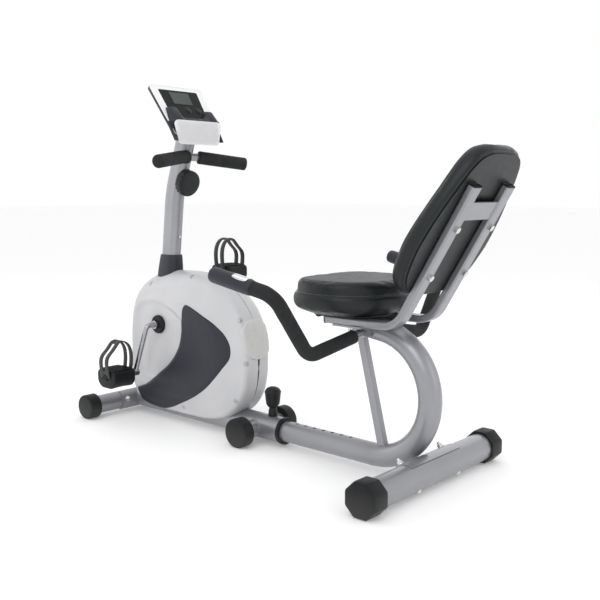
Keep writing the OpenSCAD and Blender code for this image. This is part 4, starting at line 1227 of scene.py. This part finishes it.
# ---------- pedals and straps ----------
CRANK_A = rad(22.5)
DIR = Vector((math.sin(CRANK_A), 0, -math.cos(CRANK_A)))
STRAP = [(-41.8, -2), (-44, 14), (-47.3, 40), (-47.8, 62), (-45, 80), (-38, 95), (-27, 106), (-13, 112),
         (0, 109.5), (11, 99.5), (21, 88), (32, 78), (42.5, 67), (47.4, 52), (46.4, 28), (41.8, -2)]
for s, side_name in SIDES:
    mid = Vector((-200, 0, 321)) + DIR * 172 * s

    def at(x, y, z, s=s, mid=mid):
        return P(mid.x + x, s * (190 + y), mid.z + z)

    line = spline(STRAP, 80)
    n = len(line)
    cols = [-24, -22.6, -17, -7.4, -6, 6, 7.4, 17, 22.6, 24]
    thick = 1.6
    verts, faces = [], []
    for i, p in enumerate(line):
        d = (line[min(i + 1, n - 1)] - line[max(i - 1, 0)]).normalized()
        nrm = Vector((-d.y, d.x))
        for x in cols:
            edge = 1.0 if abs(x) in (24, 6) else 0.0
            wide = 0.9 if 34 < i < 42 else 1.0
            for up in (1, -1):
                q = p + nrm * up * (thick - edge * 0.8)
                verts.append(at(x * wide, q.x, q.y))
    m = len(cols)

    def vid(i, k, top):
        return (i * m + k) * 2 + (0 if top else 1)

    def wall(*corners):
        faces.append(tuple(vid(*c) for c in corners))

    solid = [[(k != 4) or i < 7 or i > n - 9 or 33 < i < 44 for k in range(m - 1)] for i in range(n - 1)]
    for i in range(n - 1):
        for k in range(m - 1):
            if not solid[i][k]:
                continue
            wall((i, k, 1), (i, k + 1, 1), (i + 1, k + 1, 1), (i + 1, k, 1))
            wall((i, k, 0), (i + 1, k, 0), (i + 1, k + 1, 0), (i, k + 1, 0))
            if k == 0 or not solid[i][k - 1]:
                wall((i, k, 1), (i + 1, k, 1), (i + 1, k, 0), (i, k, 0))
            if k == m - 2 or not solid[i][k + 1]:
                wall((i, k + 1, 1), (i, k + 1, 0), (i + 1, k + 1, 0), (i + 1, k + 1, 1))
            if i == 0 or not solid[i - 1][k]:
                wall((i, k, 1), (i, k, 0), (i, k + 1, 0), (i, k + 1, 1))
            if i == n - 2 or not solid[i + 1][k]:
                wall((i + 1, k, 1), (i + 1, k + 1, 1), (i + 1, k + 1, 0), (i + 1, k, 0))
    used = sorted({i for f in faces for i in f})
    remap = {old: new for new, old in enumerate(used)}
    piece(f"toe_strap_{side_name}", [verts[i] for i in used], [tuple(remap[i] for i in f) for f in faces],
          f"{side_name}_pedal", "strap_rubber", RUBBER, [f"strap_{side_name}"], angle=60)
    # pedal body: crowned treads, waisted sides, weighted underside
    rings = []
    for y, g in ((-40.2, 3.5), (-39.6, 1.2), (-38, 0.2), (-36, 0), (-30, 0.0), (-20, 0.6), (0, 1.2),
                 (20, 0.6), (30, 0), (36, 0), (38, 0.2), (39.6, 1.2), (40.2, 3.5)):
        ring = []
        for j in range(64):
            a = 2 * math.pi * (j + 0.5) / 64
            x = 46 * bowed(math.cos(a), 0.42)
            z = (24 if math.sin(a) > 0 else 36) * bowed(math.sin(a), 0.42)
            if z < -14:
                x *= 1 - 0.012 * (-14 - z)
            if z > 10:
                z += 2.5 * math.cos(x / 46 * math.pi / 2) - 1.5
            k = 1 - g / 40
            ring.append(at(x * k, y, z * k))
        rings.append(ring)
    body = skin(rings)
    extra = []
    for x in range(-36, 37, 8):
        # low ribs across the tread
        rib = []
        for y, g in ((-34, 0.4), (-33, 0), (33, 0), (34, 0.4)):
            z = 24 + 2.5 * math.cos(x / 46 * math.pi / 2) - 1.5
            rib.append([at(x - 1.6 + g, y, z - 2), at(x + 1.6 - g, y, z - 2),
                        at(x + 1.1 - g, y, z + 1.5 - g), at(x - 1.1 + g, y, z + 1.5 - g)])
        extra.append(skin(rib))
    prof = [(0, DOT), (0, 12.4), (6, 12.2), (8.6, 11.2), (9.8, 9.2), (10, 7.5), (9, 6.8), (9, DOT)]
    hub = lathe(at(0, 36, 0), (0, s, 0), prof, 40)
    prof = [(0, 6.9), (0, 9.5), (1, 10.4), (12, 11.4), (13, 11.4), (13, 6.9)]
    root = lathe(at(0, -52, 0), (0, s, 0), prof, 40)
    piece(f"pedal_{side_name}_body", *join(body, hub, root, *extra), f"{side_name}_pedal", "pedal_plastic",
          BLACK, [f"pedal_{side_name}"], angle=36)


# ---------- weld beads -----------------------------
def weld(path, r, seed):
    """Uneven bead of weld along a closed path."""
    def bead(i):
        return r * (1 + 0.22 * math.sin(i * 2.1) + 0.2 * noise.noise(Vector((i * 0.7, seed, 0))))
    return ring_tube(path, bead, 10)


def tube_meets_tube(x, z, r, rail_z, rail_r, s, count=96):
    """Line where a cross tube along Y meets the main tube along X."""
    out = []
    for i in range(count):
        a = 2 * math.pi * i / count
        px, pz = x + r * math.cos(a), z + r * math.sin(a)
        y = math.sqrt(max(rail_r ** 2 - (pz - rail_z) ** 2, 1))
        out.append(P(px, s * (y + 0.3), pz))
    return out


beads = [weld(tube_meets_tube(-600, 43, 26, 46, 38, s), 1.7, s) for s in (1, -1)]
piece("middle_welds", *join(*beads), "front_frame", "painted_frame", SILVER, angle=180)
loop = []
STRUT_TOP, STRUT_LOW = Vector((-975, 0, 384)), Vector((-1056, 0, 62))
sd = (STRUT_TOP - STRUT_LOW).normalized()
sf = Vector((sd.z, 0, -sd.x))
for u, w in corner_loop(12.5, 12.5, 21, 3.5, 8):
    # where the strut's edge line meets the lower tube's crown
    z = 46 + math.sqrt(max(31 ** 2 - w ** 2, 0))
    k = (z - STRUT_LOW.z) / sd.z
    p = STRUT_LOW + sd * k + sf * u
    loop.append(P(p.x, w, z + 0.3))
smooth_loop = []
for i in range(len(loop)):
    a, b = loop[i], loop[(i + 1) % len(loop)]
    for k in range(3):
        smooth_loop.append(a.lerp(b, k / 3))
piece("strut_weld", *weld(smooth_loop, 1.6, 3), "carriage", "painted_frame", SILVER, angle=180)


# ---------- light, floor, camera ----------
def area(name, place, aim, size, power, color=(1, 1, 1)):
    data = bpy.data.lights.new(name, "AREA")
    data.shape = "RECTANGLE"
    data.size, data.size_y = size
    data.energy = power
    data.color = color
    ob = bpy.data.objects.new(name, data)
    scene.collection.objects.link(ob)
    ob.location = place
    ob.rotation_mode = "QUATERNION"
    ob.rotation_quaternion = (Vector(aim) - Vector(place)).to_track_quat("-Z", "Y")
    return ob


area("key", (-1.2, 3.2, 2.6), (0, 0, 0.5), (2.6, 2.0), 30)
area("top", (0.2, 0.2, 3.4), (0, 0, 0.3), (3.2, 2.4), 14)
area("fill_front", (3.2, 1.4, 1.4), (0.2, 0, 0.5), (2.2, 2.2), 10)
area("fill_rear", (-3.4, -1.0, 1.7), (0, 0, 0.5), (2.2, 2.2), 10)
area("far_side", (0.6, -3.2, 1.9), (0, 0, 0.6), (2.6, 1.8), 8)

world = bpy.data.worlds.new("studio")
scene.world = world
world.use_nodes = True
wt = world.node_tree
bg = wt.nodes["Background"]
coord = wt.nodes.new("ShaderNodeTexCoord")
sep = wt.nodes.new("ShaderNodeSeparateXYZ")
wramp = wt.nodes.new("ShaderNodeValToRGB")
remap_ = wt.nodes.new("ShaderNodeMapRange")
remap_.inputs["From Min"].default_value = -1
wt.links.new(coord.outputs["Generated"], sep.inputs["Vector"])
wt.links.new(sep.outputs["Z"], remap_.inputs["Value"])
wt.links.new(remap_.outputs["Result"], wramp.inputs["Fac"])
wt.links.new(wramp.outputs["Color"], bg.inputs["Color"])
e = wramp.color_ramp.elements
e[0].position, e[0].color = 0.0, (0.72, 0.72, 0.73, 1)
e[1].position, e[1].color = 1.0, (0.80, 0.80, 0.81, 1)
for place in (0.5, 0.63):
    e.new(place).color = (1.0, 1.0, 1.0, 1)
bg.inputs["Strength"].default_value = 1.0

floor_look = material("pale_floor", (0.97, 0.97, 0.97), 0.75, vary=0.01, grain=0.05, grain_scale=90,
                      rough_vary=0.05)
shade = floor_look.node_tree.nodes["Principled BSDF"]
shade.inputs["Emission Color"].default_value = (1, 1, 1, 1)
shade.inputs["Emission Strength"].default_value = 0.10
fm = bpy.data.meshes.new("floor")
FLOOR = 30
corners = [(-FLOOR, -FLOOR), (FLOOR, -FLOOR), (FLOOR, FLOOR), (-FLOOR, FLOOR)]
fm.from_pydata([(x, y, -0.0004) for x, y in corners], [], [(0, 1, 2, 3)])
fm.materials.append(floor_look)
floor = bpy.data.objects.new("floor", fm)
scene.collection.objects.link(floor)

cam_data = bpy.data.cameras.new("camera")
cam_data.lens = 50.22
cam_data.sensor_width = 36
cam_data.clip_end = 100
cam = bpy.data.objects.new("camera", cam_data)
scene.collection.objects.link(cam)
yaw, pitch = rad(48.407), rad(7.578)
aim = Vector((math.cos(yaw) * math.cos(pitch), -math.sin(yaw) * math.cos(pitch), -math.sin(pitch)))
cam.location = P(-2327.98, 1771.85, 757.73)
cam.rotation_mode = "QUATERNION"
cam.rotation_quaternion = aim.to_track_quat("-Z", "Y")
scene.camera = cam
scene.view_settings.view_transform = "Standard"
scene.view_settings.look = "None"
